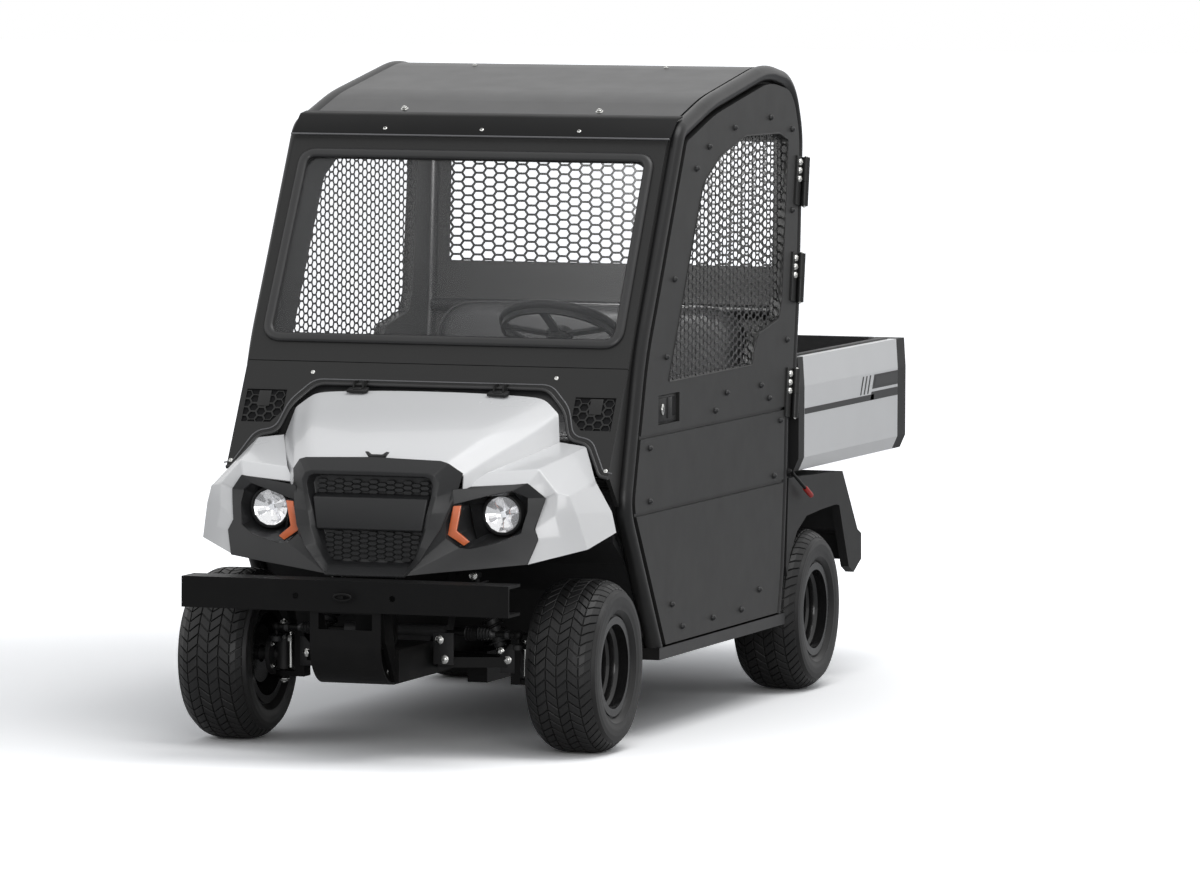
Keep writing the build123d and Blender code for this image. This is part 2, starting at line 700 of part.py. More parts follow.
# ------------------------------------------------------------------ doors
window_points = [
    (fore(510), 1038), (fore(736), roof_z - 505), (fore(835), roof_z - 339), (fore(994), roof_z - 265),
    (aft(-700), roof_z - 212), (aft(-361), roof_z - 214), (aft(-272), roof_z - 236),
    (aft(-328), 1225), (aft(-359), 1165), (aft(-557), 1132), (aft(-594), 1096), (aft(-624), 1041),
]
window_bends = [10, 60, 60, 120, 160, 60, 14, 40, 30, 30, 30, 20]
hinge_heights = [932.0, 1284.0, roof_z - 370]
hinge_base_y = aft(-224)
hinge_long = 150.0
hinge_x = cab_half + hinge_out


def hinge_plane(z, side):
    """Plane across the door's hinge line at height z, x outward, y rearward."""
    y = hinge_base_y + (z - hinge_heights[0]) * hinge_lean
    return Plane(origin=(side * hinge_x, y, z), x_dir=(side, 0, 0), z_dir=(0, hinge_lean, 1))


def window_face(inset):
    """Door window outline, shrunk by an inset, in local (y, z)."""
    with BuildSketch() as face:
        with BuildLine():
            FilletPolyline(*window_points, radius=window_bends, close=True)
        make_face()
        if inset:
            offset(amount=-inset, mode=Mode.REPLACE)
    return face.sketch_local


for word, side in (("left", 1), ("right", -1)):
    skin = Plane.YZ.offset(side * (cab_half - door_t))
    with BuildPart() as door:
        with BuildSketch(skin):
            add(hoop_region(-tube_r - clear))
        extrude(amount=side * door_t)
        with BuildSketch(skin):
            add(window_face(0))
        extrude(amount=side * door_t, mode=Mode.SUBTRACT)
        for seam in door_seams:
            with Locations((side * cab_half, 0, seam)):
                Box(2 * seam_d, 8000, seam_w, mode=Mode.SUBTRACT)
        with Locations((side * cab_half, fore(518), 960)):
            Box(24, 196, 86, mode=Mode.SUBTRACT)
        for z in hinge_heights:
            plane = hinge_plane(z, side)
            out = hinge_out
            for low, high, reach in ((-hinge_long / 2, -1, -17), (0, hinge_long / 2, 0)):
                with BuildSketch(plane.offset(low)):
                    with Locations((leaf_t / 2 - out, side * (-62 + reach) / 2)):
                        Rectangle(leaf_t, 62 + reach)
                extrude(amount=high - low)
            with BuildSketch(plane):
                Circle(hinge_r + 5)
                Circle(hinge_r - 0.5, mode=Mode.SUBTRACT)
            extrude(amount=hinge_long / 2)
            with BuildSketch(plane.offset(-1)):
                Circle(hinge_r - 0.5)
            extrude(amount=hinge_long / 2 + 2, mode=Mode.SUBTRACT)
    save(door, f"{word}_door_panel")

    with BuildPart() as door_mesh:
        with BuildSketch(Plane.YZ.offset(side * (cab_half - door_t / 2))):
            add(window_face(seat_gap))
        extrude(amount=side * mesh_t)
    save(door_mesh, f"{word}_door_mesh")

with BuildPart() as hinge_posts:
    for side in (1, -1):
        for z in hinge_heights:
            plane = hinge_plane(z, side)
            back = hoop_y(z, False) - plane.origin.Y
            with BuildSketch(plane.offset(-hinge_long / 2)):
                Circle(hinge_r - 1)
            extrude(amount=hinge_long)
            with BuildSketch(plane.offset(-hinge_long / 2)):
                Circle(hinge_r + 5)
                with Locations((3 - hinge_out, side * (back + 12) / 2)):
                    Rectangle(5.4, back + 12)
            extrude(amount=hinge_long / 2 - 1)
save(hinge_posts, "door_hinge_brackets")

# ------------------------------------------------------------------ dashboard and seat
with BuildPart() as dash:
    with BuildSketch(Plane.YZ.offset(-roof_half)):
        with BuildLine():
            Polyline((rake_y(1120) + 18, 1120), (fore(430), 1108), (fore(476), 1040), (fore(440), 960),
                     (rake_y(960) + 18, 960), close=True)
        make_face()
    extrude(amount=2 * roof_half)
    with Locations((steer_x, fore(500), 985)):
        Box(56, 130, 44)
    with BuildSketch(steer_plane.offset(50)):
        Circle(column_r + seat_gap)
    extrude(amount=-900, mode=Mode.SUBTRACT)
save(dash, "dashboard")

seat_half = 520.0
seat_base_top = 700.0
cushion_top = 838.0
with BuildPart() as seat_base:
    low = floor_z + floor_t + seat_gap
    with Locations((0, aft(-576), (low + seat_base_top) / 2)):
        Box(2 * seat_half, 480, seat_base_top - low)
    with Locations((0, aft(-576), (low + seat_base_top) / 2 - 15)):
        Box(2 * seat_half - 30, 450, seat_base_top - low, mode=Mode.SUBTRACT)
save(seat_base, "seat_base")

with BuildPart() as cushion:
    with Locations((0, aft(-641), (seat_base_top + seat_gap + cushion_top) / 2)):
        Box(2 * seat_half, 430, cushion_top - seat_base_top - seat_gap)
    fillet(cushion.edges().filter_by(Axis.Z), 60)
    fillet(cushion.faces().sort_by(Axis.Z)[-1].edges(), 30)
save(cushion, "seat_cushion")

with BuildPart() as backrest:
    with BuildSketch(Plane.YZ.offset(-seat_half)):
        with BuildLine():
            Polyline((aft(-421), seat_base_top + seat_gap), (aft(-338), seat_base_top + seat_gap),
                     (aft(-296), 900), (aft(-241), 1215), (aft(-328), 1215), close=True)
        make_face()
    extrude(amount=2 * seat_half)
    fillet(backrest.edges().filter_by(Axis.Y, tolerance=30).group_by(Axis.Z)[-1].sort_by(Axis.X)[0], 60)
save(backrest, "seat_back")

# ------------------------------------------------------------------ front body
skin_t = 6.0
lamp_x = 354.0
lamp_z = 695.0
lamp_r = 51.0
lamp_face = fore(-170)          # lamps sit deep in cups moulded into the grille frame
lamp_cup_r = lamp_r + 12
lamp_cup_back = lamp_face + 6


def fender_points(x_sign):
    data = {
        "rear_in": (426, 90, 882), "rear_top": (507, 85, 874), "shoulder": (556, 26, 780),
        "flank": (600, 46, 690), "tip": (613, 46, 632), "crown": (455, -180, 827),
        "crown_in": (305, -199, 813), "brow_in": (264, -262, 775), "brow": (437, -218, 786),
        "corner": (478, -181, 743), "notch": (458, -224, 658), "cheek": (472, -230, 628),
        "chin": (450, -262, 559), "ridge": (515, -195, 760), "edge_top": (548, -181, 753),
        "edge_low": (580, -152, 640), "hem": (590, -140, 597), "in_front": (300, -250, 562),
        "in_rear": (430, 46, 632),
    }
    return {key: (x_sign * x, fore(y), z) for key, (x, y, z) in data.items()}


fender_faces = [
    ("rear_in", "rear_top", "crown", "crown_in"), ("rear_top", "shoulder", "ridge", "crown"),
    ("crown_in", "crown", "brow", "brow_in"), ("crown", "ridge", "corner", "brow"),
    ("ridge", "shoulder", "edge_top"), ("edge_top", "shoulder", "flank", "tip", "edge_low"),
    ("ridge", "edge_top", "edge_low", "hem", "chin", "cheek", "notch", "corner"),
    ("edge_low", "tip", "hem"), ("hem", "tip", "in_rear", "in_front", "chin"),
    ("rear_in", "crown_in", "brow_in", "in_front", "in_rear"),
    ("rear_in", "in_rear", "tip", "flank", "shoulder", "rear_top"),
    ("notch", "cheek", "chin", "in_front", "brow_in", "brow", "corner"),
]
with BuildPart() as fenders:
    for side in (1, -1):
        body = facet_solid(fender_points(side), fender_faces)
        add(body - Pos(-side * skin_t, skin_t, -skin_t) * body)
        with BuildSketch(Plane.XZ.offset(-lamp_cup_back)):
            with Locations((side * lamp_x, lamp_z)):
                Circle(lamp_cup_r + 2)
        extrude(amount=150, mode=Mode.SUBTRACT)
save(fenders, "front_fenders")

hood_data = {
    "rear": (0, 165, 1016), "rear_corner": (360, 159, 1008), "rear_side": (410, 129, 955),
    "rear_low": (420, 90, 889), "mid": (0, -212, 881), "mid_corner": (235, -205, 874),
    "mid_side": (292, -190, 838), "lip": (0, -268, 853), "lip_corner": (205, -262, 846),
    "lip_side": (258, -246, 812), "lip_low": (296, -192, 823),
}
hood_points = {}
for key, (x, y, z) in hood_data.items():
    hood_points[key] = (x, fore(y), z)
    hood_points[key + "_r"] = (-x, fore(y), z)
hood_low = {"base_rear": (0, 60, 880), "base_mid": (0, -180, 840)}
for key, (x, y, z) in hood_low.items():
    hood_points[key] = (x, fore(y), z)


def both(*keys):
    """A face given for one side, and its mirror image with the order turned round."""
    central = ("rear", "mid", "lip", "base_rear", "base_mid")
    other = tuple(key if key in central else key + "_r" for key in reversed(keys))
    return [keys, other]


hood_faces = []
for keys in (("rear", "mid", "mid_corner", "rear_corner"), ("rear_corner", "mid_corner", "mid_side", "rear_side"),
             ("rear_side", "mid_side", "lip_low", "rear_low"), ("mid", "lip", "lip_corner", "mid_corner"),
             ("mid_corner", "lip_corner", "lip_side", "mid_side"), ("mid_side", "lip_side", "lip_low"),
             ("base_rear", "rear", "rear_corner", "rear_side", "rear_low"),
             ("base_rear", "rear_low", "lip_low", "base_mid"),
             ("base_mid", "lip_low", "lip_side", "lip_corner", "lip")):
    hood_faces += both(*keys)
with BuildPart() as hood:
    body = facet_solid(hood_points, hood_faces)
    add(body - Pos(0, 3, -5) * scale(body, by=(0.985, 1, 1)))
    for side in (1, -1):
        ear = Plane.YZ.offset(side * clip_x - clip_half + 1)
        with BuildSketch(ear):
            with Locations((hood_pivot_y, hood_pivot_z)):
                Circle(8)
            with Locations((hood_pivot_y, hood_pivot_z - 11)):
                Rectangle(12, 22)
        extrude(amount=2 * clip_half - 2)
        with BuildSketch(ear):
            with Locations((hood_pivot_y, hood_pivot_z)):
                Circle(clip_pin_r + 0.5)
        extrude(amount=2 * clip_half - 2, mode=Mode.SUBTRACT)
save(hood, "hood")

with BuildPart() as latch:
    with BuildSketch(Plane.YZ.offset(-28)):
        with BuildLine():
            Polyline((fore(-288), 858.3), (fore(-258.6), 858.3), (fore(-228.6), 873.3), (fore(-228.6), 877),
                     (fore(-268), 885), (fore(-288), 883), close=True)
        make_face()
    extrude(amount=56)
save(latch, "hood_latch")

# ------------------------------------------------------------------ grille and lamps
amber_outline = [(243, 724), (262, 724), (250, 652), (290, 626), (276, 606), (229, 634)]
fascia_faces = [
    ("f_notch", "f_cheek", "f_chin", "f_low", "f_brow_in", "f_brow", "f_corner"),
    ("b_notch", "b_corner", "b_brow", "b_brow_in", "b_low", "b_chin", "b_cheek"),
]
fascia_order = ["brow_in", "brow", "corner", "notch", "cheek", "chin", "low"]
for first, second in zip(fascia_order, fascia_order[1:] + fascia_order[:1]):
    fascia_faces.append(("f_" + second, "f_" + first, "b_" + first, "b_" + second))
fascia_front = {
    "brow_in": (225, -300, 768), "brow": (432, -250, 783), "corner": (472, -214, 742),
    "notch": (452, -256, 660), "cheek": (466, -262, 629), "chin": (446, -292, 562), "low": (112, -388, 530),
}
fascia_back = {
    "brow_in": (225, -268, 770), "brow": (437, -222, 785), "corner": (478, -185, 743),
    "notch": (458, -228, 658), "cheek": (472, -234, 628), "chin": (450, -266, 559), "low": (112, -266, 530),
}
frame_front = {"top": (214, -300, 850), "side": (259, -280, 809), "jaw": (161, -366, 570), "low": (119, -388, fascia_low)}
frame_back = {"top": (214, -278, 848), "side": (259, -262, 806), "jaw": (161, -262, 570), "low": (119, -262, fascia_low)}


def fascia_points(side):
    points = {}
    for tag, data in (("f_", fascia_front), ("b_", fascia_back)):
        for key, (x, y, z) in data.items():
            points[tag + key] = (side * x, fore(y), z)
    return points


frame_points = {}
for tag, data in (("f_", frame_front), ("b_", frame_back)):
    for key, (x, y, z) in data.items():
        frame_points[tag + key] = (x, fore(y), z)
        frame_points[tag + key + "_r"] = (-x, fore(y), z)
frame_loop = ["top", "side", "jaw", "low", "low_r", "jaw_r", "side_r", "top_r"]
frame_faces = [tuple("f_" + key for key in frame_loop), tuple("b_" + key for key in reversed(frame_loop))]
for first, second in zip(frame_loop, frame_loop[1:] + frame_loop[:1]):
    frame_faces.append(("f_" + second, "f_" + first, "b_" + first, "b_" + second))
mouth_tilt = atan((340 - 325) / (805 - 552))
mouth_depth = 40.0
mouth_plane = Plane(origin=(0, fore(-340), 805), x_dir=(1, 0, 0), z_dir=(0, -cos(mouth_tilt), -sin(mouth_tilt)))
with BuildPart() as fascia:
    add(facet_solid(frame_points, frame_faces))
    for side in (1, -1):
        add(facet_solid(fascia_points(side), fascia_faces))
    for side in (1, -1):
        fender = facet_solid(fender_points(side), fender_faces)
        add(fender, mode=Mode.SUBTRACT)
        add(Pos(0, -seat_gap, 0) * fender, mode=Mode.SUBTRACT)
    with BuildSketch(mouth_plane.offset(80)):
        with BuildLine():
            Polyline((-183, 0), (183, 0), (191, -25), (157, -165), (126, -252), (-126, -252), (-157, -165),
                     (-191, -25), close=True)
        make_face()
    extrude(amount=-80 - mouth_depth, mode=Mode.SUBTRACT)
    for side in (1, -1):
        with BuildSketch(Plane.XZ.offset(-lamp_cup_back)):
            with Locations((side * lamp_x, lamp_z)):
                Circle(lamp_cup_r)
        extrude(amount=80)
        with BuildSketch(Plane.XZ.offset(-lamp_face)):
            with Locations((side * lamp_x, lamp_z)):
                Circle(lamp_r + 6)
        extrude(amount=200, mode=Mode.SUBTRACT)
        with BuildSketch(Plane.XZ.offset(-fore(-300 + seat_gap))):
            with BuildLine():
                Polyline(*[(side * x, z) for x, z in amber_outline], close=True)
            make_face()
            offset(amount=seat_gap)
        extrude(amount=200, mode=Mode.SUBTRACT)
save(fascia, "grille_fascia")

with BuildPart() as headlamps:
    for side in (1, -1):
        with BuildSketch(Plane.XZ.offset(-lamp_face + seat_gap)):
            with Locations((side * lamp_x, lamp_z)):
                Circle(lamp_r)
        extrude(amount=22)
        with BuildSketch(Plane.XZ.offset(-lamp_face + seat_gap)):
            with Locations((side * lamp_x, lamp_z)):
                Circle(lamp_r + 6 - seat_gap)
        extrude(amount=4)
save(headlamps, "headlamps")

with BuildPart() as ambers:
    for side in (1, -1):
        with BuildSketch(Plane.XZ.offset(-fore(-300))):
            with BuildLine():
                Polyline(*[(side * x, z) for x, z in amber_outline], close=True)
            make_face()
        extrude(amount=24)
save(ambers, "amber_side_lamps")

# ------------------------------------------------------------------ bumper and skid
bar_half = 494.0
bar_low = 432.0
bar_high = 521.0
bar_front = fore(-front_overhang)
bar_depth = 101.0
bar_wall = 8.0
bar_hole_x = 146.0
bar_hole_r = 9.0
bar_hole_z = 475.0
skid_half = 107.0
skid_t = 6.0
with BuildPart() as bumper:
    with BuildSketch(Plane.YZ.offset(-bar_half)):
        with BuildLine():
            Polyline((bar_front, bar_low), (bar_front + bar_depth, bar_low),
                     (bar_front + bar_depth, bar_low + bar_wall), (bar_front + bar_wall, bar_low + bar_wall),
                     (bar_front + bar_wall, bar_high - bar_wall), (bar_front + bar_depth, bar_high - bar_wall),
                     (bar_front + bar_depth, bar_high), (bar_front, bar_high), close=True)
        make_face()
    extrude(amount=2 * bar_half)
    for side in (1, -1):
        with BuildSketch(Plane.YZ.offset(side * 96)):
            with BuildLine():
                Polyline((fore(-420) - seat_gap, sub_low + 6), (fore(-420) - seat_gap, sub_high),
                         (fore(-452), bar_low + 2), (bar_front + 28, bar_low + 2), (fore(-500), 345), close=True)
            make_face()
        extrude(amount=side * 12)
    with BuildSketch(Plane.XZ.offset(-bar_front - bar_wall - 1)):
        with Locations((bar_hole_x, bar_hole_z), (-bar_hole_x, bar_hole_z)):
            Circle(bar_hole_r)
    extrude(amount=bar_wall + 2, mode=Mode.SUBTRACT)
save(bumper, "front_bumper_bar")

skid_z = sub_low - seat_gap - skid_t / 2
with BuildPart() as skid:
    with BuildSketch(Plane.YZ.offset(-skid_half)):
        with BuildLine() as curve:
            FilletPolyline((bar_front + 15, bar_low - seat_gap), (bar_front + 15, skid_z), (fore(60), skid_z),
                           radius=112)
        trace(curve.line, line_width=skid_t)
    extrude(amount=2 * skid_half)
    with BuildSketch(Plane.XZ.offset(-bar_front - 60)):
        with Locations((0, 404)):
            Rectangle(162, 46)
    extrude(amount=80, mode=Mode.SUBTRACT)
save(skid, "bumper_skid_plate")

# ------------------------------------------------------------------ rear mudguards
# Each guard is a moulded shell: outer skin with an arch lip, top skin and inner wall.
guard_skin = 5.0
guard_lip = 27.0
guard_outline = [(aft(-237), 672), (aft(326), 655), (aft(491), 460), (aft(531), 444), (aft(533), 363),
                 (aft(451), 327), (aft(399), 349), (aft(293), 550), (aft(259), 555), (aft(108), 551),
                 (aft(-49), 542), (aft(-146), 502), (aft(-216), 437), (aft(-246), 372),
                 (aft(-258), 400), (aft(-247), 540)]
with BuildPart() as guards:
    for side in (1, -1):
        with BuildSketch(Plane.YZ.offset(side * guard_inner)):
            with BuildLine():
                Polyline(*guard_outline, close=True)
            make_face()
        extrude(amount=side * (bed_half - guard_inner))
        with BuildSketch(Plane.YZ.offset(side * (guard_inner + guard_skin))):
            with BuildLine():
                Polyline((aft(-237) + guard_skin, 672 - guard_skin), (aft(324), 655 - guard_skin),
                         (aft(487), 456), (aft(526), 439), (aft(526), 250), (aft(-252), 250),
                         (aft(-252), 400), (aft(-241), 540), close=True)
            make_face()
        extrude(amount=side * (bed_half - guard_lip - guard_inner - guard_skin), mode=Mode.SUBTRACT)
        with BuildSketch(Plane.YZ.offset(side * (bed_half - guard_lip - 1))):
            with BuildLine():
                Polyline(*guard_outline, close=True)
            make_face()
            offset(amount=-guard_skin, mode=Mode.REPLACE)
        extrude(amount=side * (guard_lip + 1 - guard_skin), mode=Mode.SUBTRACT)
save(guards, "rear_mudguards")

with BuildPart() as lever:
    with BuildSketch(Plane.YZ.offset(bed_half + seat_gap)):
        with Locations((aft(-150), 650)):
            Circle(14)
    extrude(amount=16)
    rod = Plane(origin=(bed_half + 11, aft(-150), 650), x_dir=(1, 0, 0), z_dir=(0, 0.35, -1))
    with BuildSketch(rod):
        Circle(6)
    extrude(amount=74)
    with BuildSketch(rod.offset(30)):
        Circle(9)
    extrude(amount=52)
save(lever, "bed_release_lever")

# ------------------------------------------------------------------ cargo bed
cap_len = 97.0
front_cap = 58.0
side_t = 32.0
lamp_t = 8.0
tub_half = bed_half - side_t
cap_inner = 510.0
gate_half = cap_inner - clear
gate_rear = bed_rear_y - 6
gate_pivot_z = bed_floor_z + 14
gate_pivot_y = gate_rear - gate_t / 2
gate_pin_r = 6.0
with BuildPart() as tub:
    length = bed_rear_y - cap_len - seat_gap - bed_front_y
    mid_y = bed_front_y + length / 2
    with Locations((0, mid_y, (bed_low + bed_top) / 2)):
        Box(2 * (tub_half - seat_gap), length, bed_top - bed_low)
    with Locations((0, mid_y + 40, (bed_floor_z + bed_top) / 2 + 50)):
        Box(2 * (bed_half - bed_wall), length + 80 - 2 * 30, bed_top - bed_floor_z + 100, mode=Mode.SUBTRACT)
    floor_end = gate_pivot_y - gate_t / 2 - clear
    floor_start = bed_rear_y - cap_len - 10
    with Locations((0, (floor_end + floor_start) / 2, (bed_low + bed_floor_z) / 2)):
        Box(2 * (cap_inner - seat_gap), floor_end - floor_start, bed_floor_z - bed_low)
    for side in (1, -1):
        ear = Plane.YZ.offset(side * (rail_in + rail_w / 2 + 8 + 4))
        with BuildSketch(ear):
            with Locations((aft(bed_pivot_y), bed_pivot_z)):
                Circle(18)
            with Locations((aft(bed_pivot_y), (bed_pivot_z + bed_low) / 2 + 1)):
                Rectangle(36, bed_low - bed_pivot_z + 2)
        extrude(amount=side * 12)
        with BuildSketch(ear):
            with Locations((aft(bed_pivot_y), bed_pivot_z)):
                Circle(bed_pivot_r)
        extrude(amount=-side * 26)
save(tub, "cargo_bed_tub")

side_profile = [(tub_half, bed_low), (bed_half - 18, bed_low), (bed_half, bed_low + 41),
                (bed_half, bed_top - 91), (bed_half - 6, bed_top), (tub_half, bed_top)]


def side_outline(side, inner):
    """Cross-section of a bed side with its inner face at the given distance."""
    outline = [(side * x, z) for x, z in side_profile]
    outline[0] = (side * inner, bed_low)
    outline[-1] = (side * inner, bed_top)
    return outline


with BuildPart() as bed_sides:
    for side in (1, -1):
        with BuildSketch(Plane.XZ.offset(-bed_front_y - front_cap - seat_gap)):
            with BuildLine():
                Polyline(*side_outline(side, tub_half), close=True)
            make_face()
        extrude(amount=-(bed_rear_y - cap_len - bed_front_y - front_cap - 2 * seat_gap))
save(bed_sides, "cargo_bed_side_panels")

cap_spans = [(bed_front_y, bed_front_y + front_cap, tub_half),
             (bed_rear_y - cap_len, bed_rear_y - lamp_t - seat_gap, cap_inner)]
with BuildPart() as caps:
    for side in (1, -1):
        for start, end, inner in cap_spans:
            with BuildSketch(Plane.XZ.offset(-start)):
                with BuildLine():
                    Polyline(*side_outline(side, inner), close=True)
                make_face()
            extrude(amount=-(end - start))
        with BuildSketch(Plane.YZ.offset(side * (cap_inner - 2))):
            with Locations((gate_pivot_y, gate_pivot_z)):
                Circle(gate_pin_r + 0.6)
        extrude(amount=side * 22, mode=Mode.SUBTRACT)
save(caps, "cargo_bed_end_caps")

with BuildPart() as tail_lamps:
    for side in (1, -1):
        with Locations((side * 562, bed_rear_y - lamp_t / 2, 850)):
            Box(60, lamp_t, 130)
save(tail_lamps, "tail_lamps")

with BuildPart() as tailgate:
    with Locations((0, gate_pivot_y, (gate_pivot_z - 10 + bed_top) / 2)):
        Box(2 * gate_half, gate_t, bed_top - gate_pivot_z + 10)
    with BuildSketch(Plane.YZ.offset(-cap_inner - 14)):
        with Locations((gate_pivot_y, gate_pivot_z)):
            Circle(gate_pin_r)
    extrude(amount=2 * cap_inner + 28)
save(tailgate, "tailgate")
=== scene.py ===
"""Visual model of a small golf utility cart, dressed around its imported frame."""

import logging
import math
from dataclasses import dataclass
from enum import Enum
from typing import Any, Callable, Iterable, Optional, Sequence, Union

import bpy
from mathutils import Matrix, Vector


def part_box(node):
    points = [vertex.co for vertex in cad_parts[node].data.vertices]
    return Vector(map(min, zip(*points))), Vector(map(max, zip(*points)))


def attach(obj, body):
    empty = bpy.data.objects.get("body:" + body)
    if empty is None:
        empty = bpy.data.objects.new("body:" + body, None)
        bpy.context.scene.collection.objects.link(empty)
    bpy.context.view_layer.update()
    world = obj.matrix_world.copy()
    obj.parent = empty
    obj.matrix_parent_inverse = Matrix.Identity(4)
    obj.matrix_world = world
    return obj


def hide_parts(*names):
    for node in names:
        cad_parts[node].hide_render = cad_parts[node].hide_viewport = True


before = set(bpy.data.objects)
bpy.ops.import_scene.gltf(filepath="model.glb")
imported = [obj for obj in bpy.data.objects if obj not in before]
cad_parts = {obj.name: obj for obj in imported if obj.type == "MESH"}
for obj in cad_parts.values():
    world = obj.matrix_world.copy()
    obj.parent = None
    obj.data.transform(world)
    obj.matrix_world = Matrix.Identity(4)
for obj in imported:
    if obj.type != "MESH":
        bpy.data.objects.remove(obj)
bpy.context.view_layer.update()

LOG = logging.getLogger("utility_cart")
Object = bpy.types.Object
Triple = tuple[float, float, float]
Pair = tuple[float, float]
MM = 0.001
FRONT_AXLE = -1.202
REAR_AXLE = 0.734
HALF_TRACK = 0.5325
COWL_FOOT: Pair = (52.0, 807.0)
RAKE = 0.575
HINGE_LEAN = 0.136
SIDES = ((1, "left"), (-1, "right"))
UP = Vector((0.0, 0.0, 1.0))
RIGHT = Vector((1.0, 0.0, 0.0))
HERE = Matrix.Identity(4)


# ---------------------------------------------------------------- shader kit
class Sock:
    """A node output whose Python operators add Math nodes."""

    def __init__(self, graph: "Graph", socket: bpy.types.NodeSocket) -> None:
        """Wraps one output.

        Args:
            graph: The tree being drawn.
            socket: The output to wrap.
        """
        self.graph = graph
        self.socket = socket

    def _math(self, operation: str, left: Any, right: Any) -> "Sock":
        """Adds one Math node.

        Args:
            operation: Blender's name of the operation.
            left: First value or socket.
            right: Second value or socket.

        Returns:
            The node's result.
        """
        return self.graph.node("ShaderNodeMath", {"operation": operation}, {0: left, 1: right})

    def __add__(self, other: Any) -> "Sock":
        """Sum."""
        return self._math("ADD", self, other)

    __radd__ = __add__

    def __mul__(self, other: Any) -> "Sock":
        """Product."""
        return self._math("MULTIPLY", self, other)

    __rmul__ = __mul__

    def __sub__(self, other: Any) -> "Sock":
        """Difference."""
        return self._math("SUBTRACT", self, other)

    def __rsub__(self, other: Any) -> "Sock":
        """Difference the other way round."""
        return self._math("SUBTRACT", other, self)

    def __truediv__(self, other: Any) -> "Sock":
        """Quotient."""
        return self._math("DIVIDE", self, other)

    def __gt__(self, other: Any) -> "Sock":
        """One where this is the larger, nought elsewhere."""
        return self._math("GREATER_THAN", self, other)

    def __lt__(self, other: Any) -> "Sock":
        """One where this is the smaller, nought elsewhere."""
        return self._math("LESS_THAN", self, other)

    def larger(self, other: Any) -> "Sock":
        """The larger of two values."""
        return self._math("MAXIMUM", self, other)

    def fold(self, operation: str) -> "Sock":
        """Applies a Math operation of one input, such as SINE."""
        return self.graph.node("ShaderNodeMath", {"operation": operation}, {0: self})

    def clamp(self) -> "Sock":
        """Limits the value to the span from 0 to 1."""
        return self.graph.node("ShaderNodeClamp", None, {"Value": self})


class Graph:
    """A node tree that is drawn by calls."""

    def __init__(self, tree: bpy.types.NodeTree) -> None:
        """Empties a tree, to draw it anew.

        Args:
            tree: The node tree.
        """
        self.tree = tree
        tree.nodes.clear()

    def node(self, kind: str, settings: Optional[dict[str, Any]] = None,
             values: Optional[dict[Union[int, str], Any]] = None,
             output: Union[int, str] = 0) -> Sock:
        """Adds any node.

        Args:
            kind: Blender's node type.
            settings: Attributes, set first. "stops" gives a ramp's stops.
            values: Socket values or links, by name or number.
            output: Which output to return.

        Returns:
            The chosen output.
        """
        made = self.tree.nodes.new(kind)
        for key, value in (settings or {}).items():
            if key == "stops":
                elements = made.color_ramp.elements
                while len(elements) < len(value):
                    elements.new(1.0)
                for element, (position, tone) in zip(elements, value):
                    element.position = position
                    element.color = (tone, tone, tone, 1.0)
            else:
                setattr(made, key, value)
        for key, value in (values or {}).items():
            self.plug(made.inputs[key], value)
        return Sock(self, made.outputs[output])

    def plug(self, socket: bpy.types.NodeSocket, value: Any) -> None:
        """Links a Sock to an input, or sets the input's value."""
        if isinstance(value, Sock):
            self.tree.links.new(value.socket, socket)
        elif isinstance(value, tuple) and len(value) == 3 and socket.type == "RGBA":
            socket.default_value = (*value, 1.0)
        else:
            socket.default_value = value

    def seen(self, *rays: str) -> Sock:
        """One for the named kinds of rays, nought for all others."""
        first, *rest = (self.node("ShaderNodeLightPath", None, None, ray) for ray in rays)
        for other in rest:
            first = first.larger(other)
        return first

    def blend(self, factor: Sock, first: Sock, second: Sock) -> Sock:
        """Mixes two shaders."""
        return self.node("ShaderNodeMixShader", None, {0: factor, 1: first, 2: second})

    def place(self) -> Sock:
        """Object coordinates of the shaded point."""
        return self.node("ShaderNodeTexCoord", None, None, "Object")

    def stretched(self, scale: Triple) -> Sock:
        """Object coordinates scaled along each axis."""
        return self.node("ShaderNodeMapping", None, {"Vector": self.place(), "Scale": scale})

    def axis(self, name: str) -> Sock:
        """One component, X, Y or Z, of the object coordinates."""
        return self.node("ShaderNodeSeparateXYZ", None, {0: self.place()}, name)

    def noise(self, size: float, detail: float = 2.0, where: Optional[Sock] = None) -> Sock:
        """Noise with features of about the given size in metres."""
        return self.node("ShaderNodeTexNoise", None,
                         {"Vector": where or self.place(), "Scale": 1.0 / size, "Detail": detail})

    def cells(self, size: float, feature: str = "F1") -> Sock:
        """Distance in a cell pattern of the given size in metres."""
        return self.node("ShaderNodeTexVoronoi", {"feature": feature},
                         {"Vector": self.place(), "Scale": 1.0 / size}, "Distance")

    def mix(self, factor: Any, first: Any, second: Any) -> Sock:
        """Blends two colours."""
        return self.node("ShaderNodeMix", {"data_type": "RGBA"}, {0: factor, 6: first, 7: second},
                         2)

    def bump(self, height: Sock, depth: float, below: Optional[Sock] = None) -> Sock:
        """Turns a height pattern into a normal, depth in metres."""
        values = {"Height": height, "Distance": depth, "Strength": 1.0}
        if below is not None:
            values["Normal"] = below
        return self.node("ShaderNodeBump", None, values)


